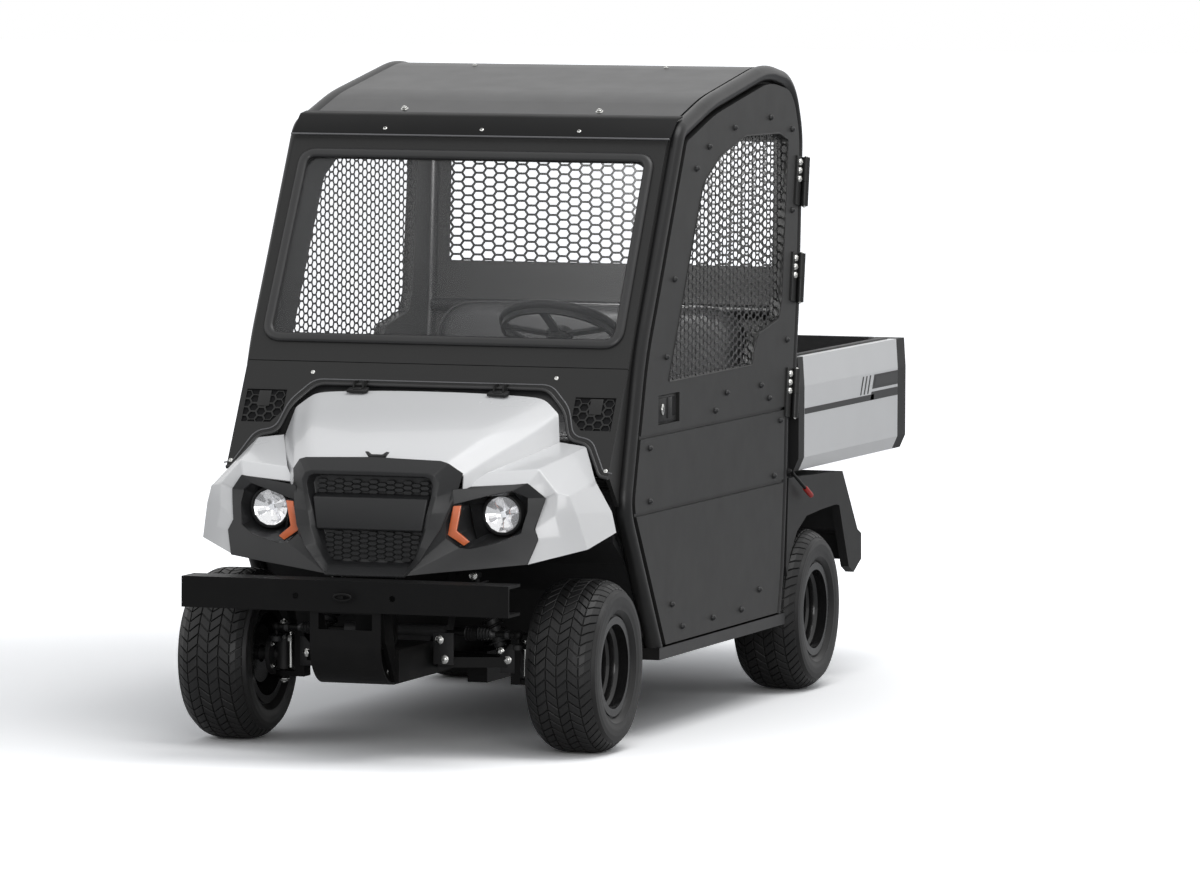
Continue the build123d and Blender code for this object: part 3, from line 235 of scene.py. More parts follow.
class Surface(Graph):
    """A material's node tree with one Principled shader."""

    def __init__(self, name: str) -> None:
        """Starts an empty material.

        Args:
            name: The material's name.
        """
        self.material = bpy.data.materials.new(name)
        self.material.use_nodes = True
        super().__init__(self.material.node_tree)
        self.output = self.tree.nodes.new("ShaderNodeOutputMaterial")
        self.shader = self.tree.nodes.new("ShaderNodeBsdfPrincipled")
        self.tree.links.new(self.shader.outputs[0], self.output.inputs["Surface"])

    def feed(self, **inputs: Any) -> None:
        """Plugs the shader's inputs; underscores in names stand for spaces."""
        for key, value in inputs.items():
            self.plug(self.shader.inputs[key.replace("_", " ")], value)


class Grain(Enum):
    """Kinds of fine surface relief."""

    PEEL = "sprayed paint"
    POWDER = "powder coat"
    MOULD = "moulded plastic"
    HIDE = "grained vinyl"
    CAST = "cast metal"
    BRUSHED = "drawn or plated steel"
    RUBBER = "rubber"
    CLEAR = "glass"


GRAIN_SIZE = {Grain.PEEL: 0.006, Grain.POWDER: 0.0022, Grain.MOULD: 0.0016, Grain.HIDE: 0.0028,
              Grain.CAST: 0.004, Grain.BRUSHED: 0.0012, Grain.RUBBER: 0.0025, Grain.CLEAR: 0.02}
GRAIN_DEPTH = {Grain.PEEL: 0.00002, Grain.POWDER: 0.00005, Grain.MOULD: 0.00012,
               Grain.HIDE: 0.00015, Grain.CAST: 0.0005, Grain.BRUSHED: 0.00003,
               Grain.RUBBER: 0.0001, Grain.CLEAR: 0.00001}
DUST = (0.17, 0.155, 0.135)


@dataclass(frozen=True)
class Finish:
    """A surface finish: colour, gloss, fine relief, handling marks and dust; a few carry painted
    light.
    """

    name: str
    colour: Triple
    rough: float
    grain: Grain
    metallic: float = 0.0
    coat: float = 0.0
    tone: float = 0.12
    patch: float = 0.16
    spread: float = 0.08
    dust: float = 0.0
    alpha: float = 1.0
    specular: float = 0.5
    glow: float = 0.0

    def relief(self, graph: Graph) -> Sock:
        """The height pattern of the finish's grain."""
        size = GRAIN_SIZE[self.grain]
        if self.grain is Grain.HIDE:
            folds = graph.cells(size, "DISTANCE_TO_EDGE") * 2.2
            return folds.clamp() + graph.noise(size / 3) * 0.25
        if self.grain is Grain.MOULD:
            return graph.cells(size) + graph.noise(size * 2) * 0.5
        if self.grain is Grain.BRUSHED:
            return graph.noise(size, 3.0, graph.stretched((0.12, 1.0, 1.0)))
        if self.grain is Grain.CAST:
            return graph.noise(size, 6.0) + graph.cells(size * 0.6) * 0.4
        return graph.noise(size, 3.0)

    def tint(self, graph: Graph) -> Sock:
        """The base colour, a little uneven, with dust low on the vehicle."""
        dark = tuple(c * (1 - self.tone) for c in self.colour)
        light = tuple(min(1.0, c * (1 + self.tone)) for c in self.colour)
        colour = graph.mix(graph.noise(self.patch, 4.0), dark, light)
        if self.dust:
            low = (0.62 - graph.axis("Z")) * 1.6
            streaks = graph.noise(0.05, 6.0) * 1.7 - 0.35
            colour = graph.mix((low * streaks).clamp() * self.dust, colour, DUST)
        return colour

    def make(self) -> bpy.types.Material:
        """Draws the material.

        Returns:
            A procedural material that reads object coordinates only.
        """
        graph = Surface(self.name)
        smears = graph.noise(self.patch * 0.6, 5.0)
        rough = (smears - 0.5) * self.spread + self.rough
        graph.feed(Base_Color=self.tint(graph), Roughness=rough.clamp(), Metallic=self.metallic,
                   Normal=graph.bump(self.relief(graph), GRAIN_DEPTH[self.grain]),
                   Specular_IOR_Level=self.specular, Alpha=self.alpha)
        if self.coat:
            graph.feed(Coat_Weight=self.coat, Coat_Roughness=0.06)
        if self.glow:
            graph.feed(Emission_Color=self.colour, Emission_Strength=self.glow)
        return graph.material


@dataclass(frozen=True)
class FlakeFinish(Finish):
    """Silver paint with fine metal flakes."""

    def tint(self, graph: Graph) -> Sock:
        """Base colour with a scatter of bright flakes."""
        flakes = graph.node("ShaderNodeTexVoronoi", None,
                            {"Vector": graph.place(), "Scale": 900.0}, "Color")
        value = graph.node("ShaderNodeSeparateColor", None, {0: flakes}, 0)
        return graph.mix(value * 0.25, super().tint(graph), (0.9, 0.9, 0.9))


@dataclass(frozen=True)
class PrismFinish(Finish):
    """A moulded lamp lens with rows of small prisms."""

    pitch: float = 0.006

    def relief(self, graph: Graph) -> Sock:
        """Rows of rounded prisms across and up the lens."""
        turn = math.tau / self.pitch
        across = (graph.axis("X") * turn).fold("SINE")
        rise = (graph.axis("Z") * turn).fold("SINE")
        return (across * rise) * 8.0


class Paints:
    """Every finish on the vehicle, made once and shared."""

    LIST = (
        Finish("cab_powder_coat", (0.020, 0.0199, 0.0196), 0.44, Grain.POWDER, tone=0.08,
               spread=0.10, dust=0.06, specular=0.30),
        Finish("tube_powder_coat", (0.012, 0.012, 0.0123), 0.34, Grain.POWDER, dust=0.10,
               specular=0.32),
        # A darker copy of the tube coat: painted shade on the visor under the roof's edge.
        Finish("visor_painted_shade", (0.006, 0.006, 0.0062), 0.50, Grain.POWDER, tone=0.1, specular=0.14),
        Finish("roof_paint", (0.024, 0.0243, 0.025), 0.34, Grain.PEEL, tone=0.06, specular=0.34),
        Finish("white_body_gloss", (0.76, 0.762, 0.765), 0.26, Grain.PEEL, coat=0.3, tone=0.015,
               patch=0.5),
        Finish("fascia_plastic", (0.026, 0.0262, 0.027), 0.38, Grain.MOULD, tone=0.08,
               specular=0.34),
        Finish("trim_plastic", (0.014, 0.014, 0.0143), 0.50, Grain.MOULD, tone=0.12, dust=0.05,
               specular=0.28),
        # Near-black painted shade, put in holes, recesses, behind the vents and under the fenders.
        Finish("painted_shade_black", (0.004, 0.004, 0.0045), 0.75, Grain.MOULD, specular=0.2),
        FlakeFinish("bed_silver_paint", (0.80, 0.805, 0.81), 0.34, Grain.PEEL, metallic=0.1,
                    coat=0.1, tone=0.04, dust=0.10),
        Finish("bed_liner_plastic", (0.018, 0.018, 0.019), 0.62, Grain.MOULD, tone=0.25, dust=0.20),
        Finish("chassis_paint", (0.005, 0.005, 0.0052), 0.42, Grain.PEEL, tone=0.25, dust=0.04,
               specular=0.12),
        Finish("cast_metal", (0.030, 0.030, 0.031), 0.50, Grain.CAST, metallic=0.4, tone=0.25,
               dust=0.10, specular=0.3),
        Finish("zinc_plate", (0.66, 0.66, 0.64), 0.24, Grain.BRUSHED, metallic=1.0, tone=0.12,
               patch=0.03),
        Finish("rim_gloss_black", (0.008, 0.008, 0.0083), 0.24, Grain.PEEL, coat=0.2, dust=0.03,
               specular=0.45),
        Finish("tyre_rubber", (0.0145, 0.0145, 0.0148), 0.42, Grain.RUBBER, tone=0.18, patch=0.07,
               dust=0.05, specular=0.32),
        Finish("seal_rubber", (0.022, 0.022, 0.0225), 0.36, Grain.RUBBER, tone=0.15),
        Finish("wire_mesh_paint", (0.007, 0.007, 0.0073), 0.40, Grain.POWDER, tone=0.2),
        # The pale base at low alpha is a painted sheen on the windscreen.
        Finish("screen_glass", (0.26, 0.262, 0.266), 0.03, Grain.CLEAR, alpha=0.09, tone=0.0,
               spread=0.02),
        # The near-white base at low alpha is a painted sheen on the lamp covers.
        Finish("lamp_glass", (0.9, 0.92, 0.95), 0.04, Grain.CLEAR, alpha=0.07, tone=0.0,
               spread=0.02),
        # The reflector's glow is a painted sheen on the chrome.
        Finish("lamp_chrome", (0.95, 0.95, 0.96), 0.10, Grain.CLEAR, metallic=0.9, tone=0.03,
               spread=0.04, glow=0.10),
        Finish("lamp_glow", (0.95, 0.97, 1.0), 0.3, Grain.CLEAR, glow=0.35, tone=0.0),
        PrismFinish("amber_lens", (0.86, 0.20, 0.07), 0.16, Grain.CLEAR, coat=0.5, tone=0.12,
                    patch=0.02),
        PrismFinish("red_lens", (0.36, 0.012, 0.012), 0.14, Grain.CLEAR, coat=0.6, tone=0.10,
                    pitch=0.009),
        Finish("grained_vinyl", (0.020, 0.020, 0.0205), 0.48, Grain.HIDE, tone=0.10, spread=0.12,
               specular=0.35),
        Finish("red_grip_rubber", (0.38, 0.018, 0.014), 0.42, Grain.RUBBER, tone=0.10),
        Finish("stripe_film", (0.010, 0.010, 0.0105), 0.30, Grain.PEEL, tone=0.05),
        Finish("stripe_film_grey", (0.024, 0.0243, 0.025), 0.30, Grain.PEEL, tone=0.05),
        # A pale painted highlight along pressed beads and seams.
        Finish("painted_highlight_line", (0.13, 0.13, 0.135), 0.35, Grain.PEEL, tone=0.1),
        Finish("gauge_white", (0.75, 0.75, 0.73), 0.30, Grain.PEEL, tone=0.03),
    )

    def __init__(self) -> None:
        """Draws every material."""
        self.made = {finish.name: finish.make() for finish in self.LIST}

    def coat(self, piece: Object, name: str) -> Object:
        """Gives a piece one finish in every material slot.

        Args:
            piece: The object to paint.
            name: A finish's name.

        Returns:
            The same object.
        """
        if not piece.data.materials:
            piece.data.materials.append(self.made[name])
        for slot in piece.material_slots:
            slot.material = self.made[name]
        return piece


# ---------------------------------------------------------------- modelling kit
def plane(origin: Sequence[float], across: Sequence[float], normal: Sequence[float]) -> Matrix:
    """A local frame: X runs across, Z along the normal.

    Args:
        origin: The frame's origin in metres.
        across: Direction of local X.
        normal: Direction of local Z.

    Returns:
        The matrix from local to vehicle space.
    """
    z_dir = Vector(normal).normalized()
    x_dir = Vector(across)
    x_dir = (x_dir - z_dir * x_dir.dot(z_dir)).normalized()
    y_dir = z_dir.cross(x_dir)
    grid = Matrix((x_dir, y_dir, z_dir)).transposed().to_4x4()
    grid.translation = Vector(origin)
    return grid


def pointing(at: Sequence[float], normal: Sequence[float]) -> Matrix:
    """A local frame whose Z points along the normal, turned any way about it."""
    helper = UP if abs(Vector(normal).normalized().z) < 0.9 else RIGHT
    return plane(at, helper, normal)


def ahead(at: Sequence[float]) -> Matrix:
    """A local frame that faces forward, with X across the vehicle."""
    return plane(at, RIGHT, (0, -1, 0))


def raised(height: float) -> Matrix:
    """A shift along local Z, in millimetres."""
    return Matrix.Translation((0, 0, height * MM))


def clear_selection() -> None:
    """Leaves edit mode and selects nothing."""
    if bpy.context.mode != "OBJECT":
        bpy.ops.object.mode_set(mode="OBJECT")
    bpy.ops.object.select_all(action="DESELECT")


def activate(piece: Object) -> None:
    """Selects one object alone and makes it active."""
    clear_selection()
    piece.select_set(True)
    bpy.context.view_layer.objects.active = piece


def edit(piece: Object, mode: str = "VERT", action: str = "SELECT") -> None:
    """Enters edit mode with everything selected, or nothing."""
    activate(piece)
    bpy.ops.object.mode_set(mode="EDIT")
    bpy.ops.mesh.select_mode(type=mode)
    bpy.ops.mesh.select_all(action=action)


def done(piece: Object) -> Object:
    """Leaves edit mode and returns the piece."""
    bpy.ops.object.mode_set(mode="OBJECT")
    return piece


def heal(piece: Object) -> Object:
    """Turns every face's normal outwards and leaves edit mode."""
    bpy.ops.mesh.select_all(action="SELECT")
    bpy.ops.mesh.normals_make_consistent(inside=False)
    return done(piece)


def push(piece: Object, move: Triple) -> Object:
    """Extrudes what is selected, turns the normals outwards and leaves edit mode."""
    bpy.ops.mesh.extrude_region_move(TRANSFORM_OT_translate={"value": move})
    return heal(piece)


def settle(piece: Object, name: str) -> Object:
    """Names a new piece and moves its place into its mesh."""
    activate(piece)
    piece.name = name
    piece.data.name = name
    bpy.ops.object.transform_apply(location=True, rotation=True, scale=True)
    return piece


def pick_faces(piece: Object, rule: Callable[[bpy.types.MeshPolygon], bool]) -> None:
    """In edit mode, selects only the faces that the rule accepts."""
    bpy.ops.mesh.select_all(action="DESELECT")
    bpy.ops.object.mode_set(mode="OBJECT")
    for face in piece.data.polygons:
        face.select = bool(rule(face))
    bpy.ops.object.mode_set(mode="EDIT")
    bpy.ops.mesh.select_mode(type="FACE")


def apply_modifier(piece: Object, kind: str, **settings: Any) -> Object:
    """Adds a modifier and applies it at once."""
    activate(piece)
    modifier = piece.modifiers.new("step", kind)
    for key, value in settings.items():
        setattr(modifier, key, value)
    bpy.ops.object.modifier_apply(modifier=modifier.name)
    return piece


def smooth(piece: Object, degrees: float = 35.0) -> Object:
    """Shades smooth across gentle edges only."""
    activate(piece)
    bpy.ops.object.shade_smooth_by_angle(angle=math.radians(degrees))
    return piece


def shell(name: str, points: Sequence[Sequence[float]], edges: Sequence[Sequence[int]] = (),
          faces: Sequence[Sequence[int]] = ()) -> Object:
    """A new mesh object from given points, to be shaped by operators."""
    mesh = bpy.data.meshes.new(name)
    mesh.from_pydata([tuple(p) for p in points], edges, faces)
    piece = bpy.data.objects.new(name, mesh)
    bpy.context.scene.collection.objects.link(piece)
    return piece


def plate(name: str, outline: Sequence[Pair], thick: float, grid: Matrix, bevel: float = 0.0,
          segments: int = 2) -> Object:
    """A flat plate, drawn in millimetres and extruded along local Z.

    Args:
        name: The piece's name.
        outline: Corners in local X and Y, in millimetres.
        thick: Thickness in millimetres.
        grid: The local frame.
        bevel: Width of the rounded edges in millimetres.
        segments: Steps in the rounded edges.

    Returns:
        The finished plate.
    """
    piece = shell(name, [(x * MM, y * MM, 0) for x, y in outline], (), [list(range(len(outline)))])
    edit(piece)
    push(piece, (0, 0, thick * MM))
    if bevel:
        apply_modifier(piece, "BEVEL", width=bevel * MM, segments=segments, limit_method="ANGLE",
                       angle_limit=math.radians(30))
    piece.data.transform(grid)
    if grid.determinant() < 0:
        piece.data.flip_normals()
    return smooth(piece)


def block(name: str, size: Triple, at: Triple, bevel: float = 1.5,
          grid: Optional[Matrix] = None) -> Object:
    """A box with rounded edges, sizes and place in millimetres in the given frame."""
    half_x, half_y = size[0] / 2, size[1] / 2
    outline = [(at[0] - half_x, at[1] - half_y), (at[0] + half_x, at[1] - half_y),
               (at[0] + half_x, at[1] + half_y), (at[0] - half_x, at[1] + half_y)]
    base = (grid or HERE) @ raised(at[2] - size[2] / 2)
    return plate(name, outline, size[2], base, bevel)


def lathe(name: str, profile: Sequence[Pair], steps: int, grid: Matrix) -> Object:
    """Spins a profile of (radius, height) in millimetres round the frame's Z axis."""
    points = [(r * MM, 0, h * MM) for r, h in profile]
    piece = shell(name, points, [(i, i + 1) for i in range(len(points) - 1)])
    edit(piece)
    bpy.ops.mesh.spin(steps=steps, angle=math.tau, center=(0, 0, 0), axis=(0, 0, 1))
    bpy.ops.mesh.select_all(action="SELECT")
    bpy.ops.mesh.remove_doubles(threshold=1e-6)
    heal(piece)
    piece.data.transform(grid)
    return smooth(piece)


def rounded(points: Sequence[Sequence[float]], radius: float, steps: int = 4) -> list[Vector]:
    """A polyline with its corners rounded by short arcs, in metres."""
    path = [Vector(p) for p in points]
    result = [path[0]]
    for before, corner, after in zip(path, path[1:], path[2:]):
        back, onward = before - corner, after - corner
        reach = min(radius, back.length * 0.45, onward.length * 0.45)
        start, end = corner + back.normalized() * reach, corner + onward.normalized() * reach
        for step in range(steps + 1):
            t = step / steps
            result.append(start * (1 - t) ** 2 + corner * 2 * t * (1 - t) + end * t ** 2)
    result.append(path[-1])
    return result


def tube(name: str, points: Sequence[Sequence[float]], radius: float, cyclic: bool = False,
         facets: int = 2) -> Object:
    """A round bar along points in metres, radius in millimetres."""
    curve = bpy.data.curves.new(name, "CURVE")
    curve.dimensions = "3D"
    curve.bevel_depth = radius * MM
    curve.bevel_resolution = facets
    curve.use_fill_caps = True
    spline = curve.splines.new("POLY")
    spline.points.add(len(points) - 1)
    for slot, point in zip(spline.points, points):
        slot.co = (*point, 1.0)
    spline.use_cyclic_u = cyclic
    piece = bpy.data.objects.new(name, curve)
    bpy.context.scene.collection.objects.link(piece)
    activate(piece)
    bpy.ops.object.convert(target="MESH")
    return smooth(bpy.context.view_layer.objects.active, 50)


def copies(piece: Object, places: Iterable[Matrix]) -> list[Object]:
    """Copies of a piece, each with its own mesh, in place of the original."""
    result: list[Object] = []
    for place in places:
        twin = bpy.data.objects.new(piece.name, piece.data.copy())
        twin.data.transform(place)
        bpy.context.scene.collection.objects.link(twin)
        result.append(twin)
    bpy.data.objects.remove(piece)
    return result


def weld(name: str, pieces: Sequence[Object]) -> Object:
    """Joins pieces into one object."""
    clear_selection()
    for piece in pieces:
        piece.select_set(True)
    bpy.context.view_layer.objects.active = pieces[0]
    if len(pieces) > 1:
        bpy.ops.object.join()
    joined = bpy.context.view_layer.objects.active
    joined.name = name
    joined.data.name = name
    return joined


def inside(point: Pair, outline: Sequence[Pair]) -> bool:
    """Whether a point lies in a closed outline."""
    x, y = point
    within = False
    for (x0, y0), (x1, y1) in zip(outline, [*outline[1:], outline[0]]):
        if (y0 > y) != (y1 > y) and x < (x1 - x0) * (y - y0) / (y1 - y0) + x0:
            within = not within
    return within


@dataclass(frozen=True)
class HexSheet:
    """Punched sheet of stretched hexagons, sizes in millimetres."""

    reach: float = 23.0
    flat: float = 13.0
    rise: float = 13.0
    strand: float = 6.3
    thick: float = 2.4

    def cell(self) -> Object:
        """One hexagonal ring, punched through."""
        corners = [(self.reach, 0), (self.flat, self.rise), (-self.flat, self.rise),
                   (-self.reach, 0), (-self.flat, -self.rise), (self.flat, -self.rise)]
        ring = shell("cell", [(x * MM, y * MM, 0) for x, y in corners], (), [list(range(6))])
        edit(ring, "FACE")
        bpy.ops.mesh.inset(thickness=self.strand / 2 * MM, depth=0)
        bpy.ops.mesh.delete(type="FACE")
        bpy.ops.mesh.select_all(action="SELECT")
        return push(ring, (0, 0, self.thick * MM))

    def sheet(self, name: str, outline: Sequence[Pair], grid: Matrix,
              holes: Sequence[Sequence[Pair]] = ()) -> Object:
        """Cells whose centres lie in the outline, joined into one sheet.

        Args:
            name: The piece's name.
            outline: The limit of the cells' centres, in millimetres.
            grid: The local frame.
            holes: Outlines without cells.

        Returns:
            The sheet, in place.
        """
        step_x, step_y = self.reach + self.flat, 2 * self.rise
        xs, ys = [p[0] for p in outline], [p[1] for p in outline]
        places = []
        for i in range(int((max(xs) - min(xs)) / step_x) + 2):
            for j in range(int((max(ys) - min(ys)) / step_y) + 2):
                x, y = min(xs) + i * step_x, min(ys) + (j + 0.5 * (i % 2)) * step_y
                if inside((x, y), outline) and not any(inside((x, y), hole) for hole in holes):
                    places.append(Matrix.Translation((x * MM, y * MM, 0)))
        piece = weld(name, copies(self.cell(), places))
        piece.data.transform(grid)
        return piece


class Fastener:
    """Heads of screws, bolts and rivets, drawn in millimetres."""

    @staticmethod
    def dome(name: str, radius: float, height: float, places: Sequence[Matrix]) -> Object:
        """Round-headed rivets."""
        profile = [(0, height)] + [(radius * math.sin(a), height * math.cos(a))
                                   for a in (0.35, 0.75, 1.15, 1.45)] + [(radius, -0.6), (0, -0.6)]
        return weld(name, copies(lathe("rivet", profile, 14, HERE), places))

    @staticmethod
    def hexagon(name: str, radius: float, height: float, places: Sequence[Matrix]) -> Object:
        """Hexagon bolt heads on a washer."""
        washer = lathe("washer", [(0, 1.4), (radius * 1.25, 1.4), (radius * 1.35, 0.9),
                                  (radius * 1.35, -0.4), (0, -0.4)], 18, HERE)
        head = lathe("head", [(0, height), (radius * 0.8, height), (radius, height - 1),
                              (radius, 1.2), (0, 1.2)], 6, HERE)
        stub = lathe("stub", [(0, height + 3), (radius * 0.42, height + 3),
                              (radius * 0.5, height + 2.2), (radius * 0.5, height - 1),
                              (0, height - 1)], 12, HERE)
        return weld(name, copies(weld("bolt", [washer, head, stub]), places))

    @staticmethod
    def socket(name: str, radius: float, height: float, places: Sequence[Matrix]) -> Object:
        """Button-head screws with a hexagon socket."""
        profile = [(0, height * 0.35), (radius * 0.42, height * 0.35), (radius * 0.48, height),
                   (radius * 0.7, height * 0.92), (radius * 0.92, height * 0.55), (radius, 0.2),
                   (radius, -0.5), (0, -0.5)]
        return weld(name, copies(lathe("screw", profile, 18, HERE), places))


@dataclass
class Builder:
    """Base of the sub-assemblies: paints, mounts and reports pieces."""

    paints: Paints

    def fit(self, piece: Object, body: str, finish: str, slot: str, *nodes: str) -> Object:
        """Paints a piece, mounts it on a body, hides the CAD nodes that it replaces and logs it.

        Args:
            piece: The finished object.
            body: The CAD body that it moves with.
            finish: The finish's name.
            slot: Not used.
            *nodes: CAD nodes that it replaces.

        Returns:
            The same object.
        """
        self.paints.coat(piece, finish)
        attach(piece, body)
        if nodes:
            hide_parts(*nodes)
        LOG.info("%s: %d faces on %s", piece.name, len(piece.data.polygons), body)
        return piece

    def plated(self, piece: Object, body: str = "chassis") -> None:
        """Mounts a bright plated piece."""
        self.fit(piece, body, "zinc_plate", "zinc")

    def dress(self, finish: str, *nodes: str) -> None:
        """Paints CAD nodes that stay as they are."""
        for node in nodes:
            self.paints.coat(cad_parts[node], finish)


# ---------------------------------------------------------------- wheels
@dataclass
class Wheels(Builder):
    """Turf tyres with a zig-zag tread, and the fittings of the rims. Sizes in millimetres."""

    radius: float = 250.0
    columns: int = 6
    pitches: int = 50
    groove: float = 4.6
    side_gap: float = 2.6
    depth: float = 7.0
    slant: float = 27.0
    tread_half: float = 97.0
    stud_circle: float = 50.8
    vent_circle: float = 76.0

    def crown(self, x: float) -> float:
        """Height of the tread surface above the axle at a distance across."""
        share = min(1.0, abs(x) / self.tread_half)
        return self.radius - 27.0 * share ** 4.2

    def lug_strip(self) -> Object:
        """One row of slanting tread bars across the tyre, laid flat."""
        width = 2 * self.tread_half / self.columns
        pitch = math.tau * self.radius / self.pitches
        bars = []
        for column in range(self.columns):
            clear_selection()
            bpy.ops.mesh.primitive_grid_add(x_subdivisions=2, y_subdivisions=1, size=1)
            bar = settle(bpy.context.active_object, "bar")
            bar.data.transform(Matrix.Diagonal(((width - self.side_gap) * MM,
                                                (pitch - self.groove) * MM, 1, 1)))
            edit(bar, "FACE")
            rise = (self.depth - 1) * MM
            bpy.ops.mesh.extrude_region_move(TRANSFORM_OT_translate={"value": (0, 0, rise)})
            pick_faces(bar, lambda face: face.normal.z > 0.9 and face.center.z > 0.001)
            bpy.ops.mesh.inset(thickness=1.3 * MM, depth=1.0 * MM)
            heal(bar)
            lean = self.slant if column % 2 else -self.slant
            centre = (column + 0.5) * width - self.tread_half
            for vertex in bar.data.vertices:
                vertex.co.y += vertex.co.x / width * lean
                vertex.co.x += centre * MM
            bars.append(bar)
        strip = weld("strip", bars)
        return apply_modifier(strip, "ARRAY", count=self.pitches, use_relative_offset=False,
                              use_constant_offset=True, constant_offset_displace=(0, pitch * MM, 0))

    def tread(self) -> Object:
        """The flat strip wrapped round the axle."""
        strip = self.lug_strip()
        for vertex in strip.data.vertices:
            angle = vertex.co.y / (self.radius * MM)
            reach = self.crown(vertex.co.x / MM) * MM - self.depth * MM + vertex.co.z
            vertex.co = (vertex.co.x, reach * math.sin(angle), reach * math.cos(angle))
        edit(strip)
        return heal(strip)

    def carcass(self) -> Object:
        """The tyre's body below the tread, spun about the axle."""
        low = self.depth - 0.8
        crown = [(self.crown(x) - low, x)
                 for x in (-102, -92, -80, -62, -35, 0, 35, 62, 80, 92, 102)]
        wall = [(214, 105.6), (202, 107.0), (199.5, 107.4), (197, 107.0), (188, 107.5),
                (176, 106.4), (166, 104.0), (163.5, 104.2), (161, 102.2), (152, 96.0),
                (148.6, 90.0), (147.8, 87.6), (129, 87.4)]
        outline = [(r, -x) for r, x in reversed(wall)] + crown + wall + [(128, 0)]
        outline.append(outline[0])
        piece = lathe("carcass", outline, 128, plane((0, 0, 0), (0, 0, 1), (1, 0, 0)))
        return smooth(piece, 40)

    def fittings(self, side: int) -> tuple[Object, Object, Object]:
        """Lug nuts, hub cap with valve and rim steps, and vents of painted shade, centred on the
        wheel.
        """
        parts = []
        face = -27.0
        out = plane((0, 0, 0), (0, 1, 0), (1, 0, 0))
        for i in range(4):
            angle = math.radians(45 + 90 * i)
            spot = out @ Matrix.Translation((self.stud_circle * MM * math.cos(angle),
                                             self.stud_circle * MM * math.sin(angle), face * MM))
            parts.append(lathe("nut", [(0, 21), (6, 21), (8.5, 19), (10.5, 16), (10.5, 5),
                                       (12.5, 4), (13.5, 0), (0, 0)], 6, spot))
        cap = lathe("cap", [(0, 47), (24, 46), (29, 42), (31, 34), (34.6, 30), (34.6, 2), (0, 2)],
                    32, out @ raised(-34))
        turn = Matrix.Rotation(math.radians(10), 4, "Z")
        valve_at = out @ turn @ Matrix.Translation((0.112, 0, -4 * MM))
        valve = lathe("valve", [(0, 30), (3.6, 29), (3.6, 16), (3, 15), (3, 9), (5.5, 6), (6.5, 0),
                                (0, 0)], 12, valve_at)
        # The vent holes are dark dishes: painted shade in place of open holes.
        holes = []
        for i in range(8):
            angle = math.radians(22.5 + 45 * i)
            spot = out @ Matrix.Translation((self.vent_circle * MM * math.cos(angle),
                                             self.vent_circle * MM * math.sin(angle), face * MM))
            holes.append(lathe("vent", [(0, -1), (8, -1), (8.8, 0.8), (10.5, 1.1), (11, -0.5)], 18,
                               spot))
        barrel = lathe("barrel", [(121.5, 87), (121, 64), (116, 60), (111, 57), (109, 51),
                                  (108.5, 40), (105, 36), (101, 33), (99.5, 26), (99, -2),
                                  (104, -12), (121.5, -22)], 72, out)
        group = weld("fittings", [cap, valve, barrel])
        if side < 0:
            for piece in (group, *parts, *holes):
                piece.data.transform(Matrix.Rotation(math.pi, 4, "Z"))
        return weld("nuts", parts), group, weld("vents", holes)

    def build(self) -> None:
        """Builds the four wheels."""
        tyre = weld("tyre", [self.carcass(), self.tread()])
        for end, axle in (("front", FRONT_AXLE), ("rear", REAR_AXLE)):
            for side, word in SIDES:
                body = f"{end}_{word}_wheel"
                hub = Matrix.Translation((side * HALF_TRACK, axle, self.radius * MM))
                twin = copies(bpy.data.objects.new("tyre", tyre.data.copy()), [hub])[0]
                twin.name = f"{end}_{word}_turf_tyre"
                self.fit(twin, body, "tyre_rubber", "tyre", f"{end}_{word}_tyre")
                nuts, cap, vents = self.fittings(side)
                for piece, finish, slot, label in ((nuts, "zinc_plate", "zinc", "lug_nuts"),
                                                   (cap, "rim_gloss_black", "rim_black", "hub_cap"),
                                                   (vents, "painted_shade_black", "rim_black", "rim_vents")):
                    piece.data.transform(hub)
                    piece.name = f"{end}_{word}_{label}"
                    self.fit(piece, body, finish, slot)
                self.dress("rim_gloss_black", f"{end}_{word}_rim")
        bpy.data.objects.remove(tyre)


# ---------------------------------------------------------------- cab
def front_y(z: float) -> float:
    """Station of the cab's flat front at height z, both in millimetres, result in metres."""
    return FRONT_AXLE + (COWL_FOOT[0] + (z - COWL_FOOT[1]) * RAKE) * MM


FRONT_NORMAL = Vector((0, -1, RAKE)).normalized()


def front_spot(x: float, z: float, lift: float = 0.0) -> Matrix:
    """A frame on the cab's flat front, in millimetres; local X runs across, Y up the slope."""
    at = Vector((x * MM, front_y(z), z * MM)) + FRONT_NORMAL * lift * MM
    return plane(at, RIGHT, FRONT_NORMAL)


def slope(z: float) -> float:
    """Distance up the cab's front from the cowl's foot for a height, in millimetres."""
    return (z - COWL_FOOT[1]) * math.hypot(1, RAKE)


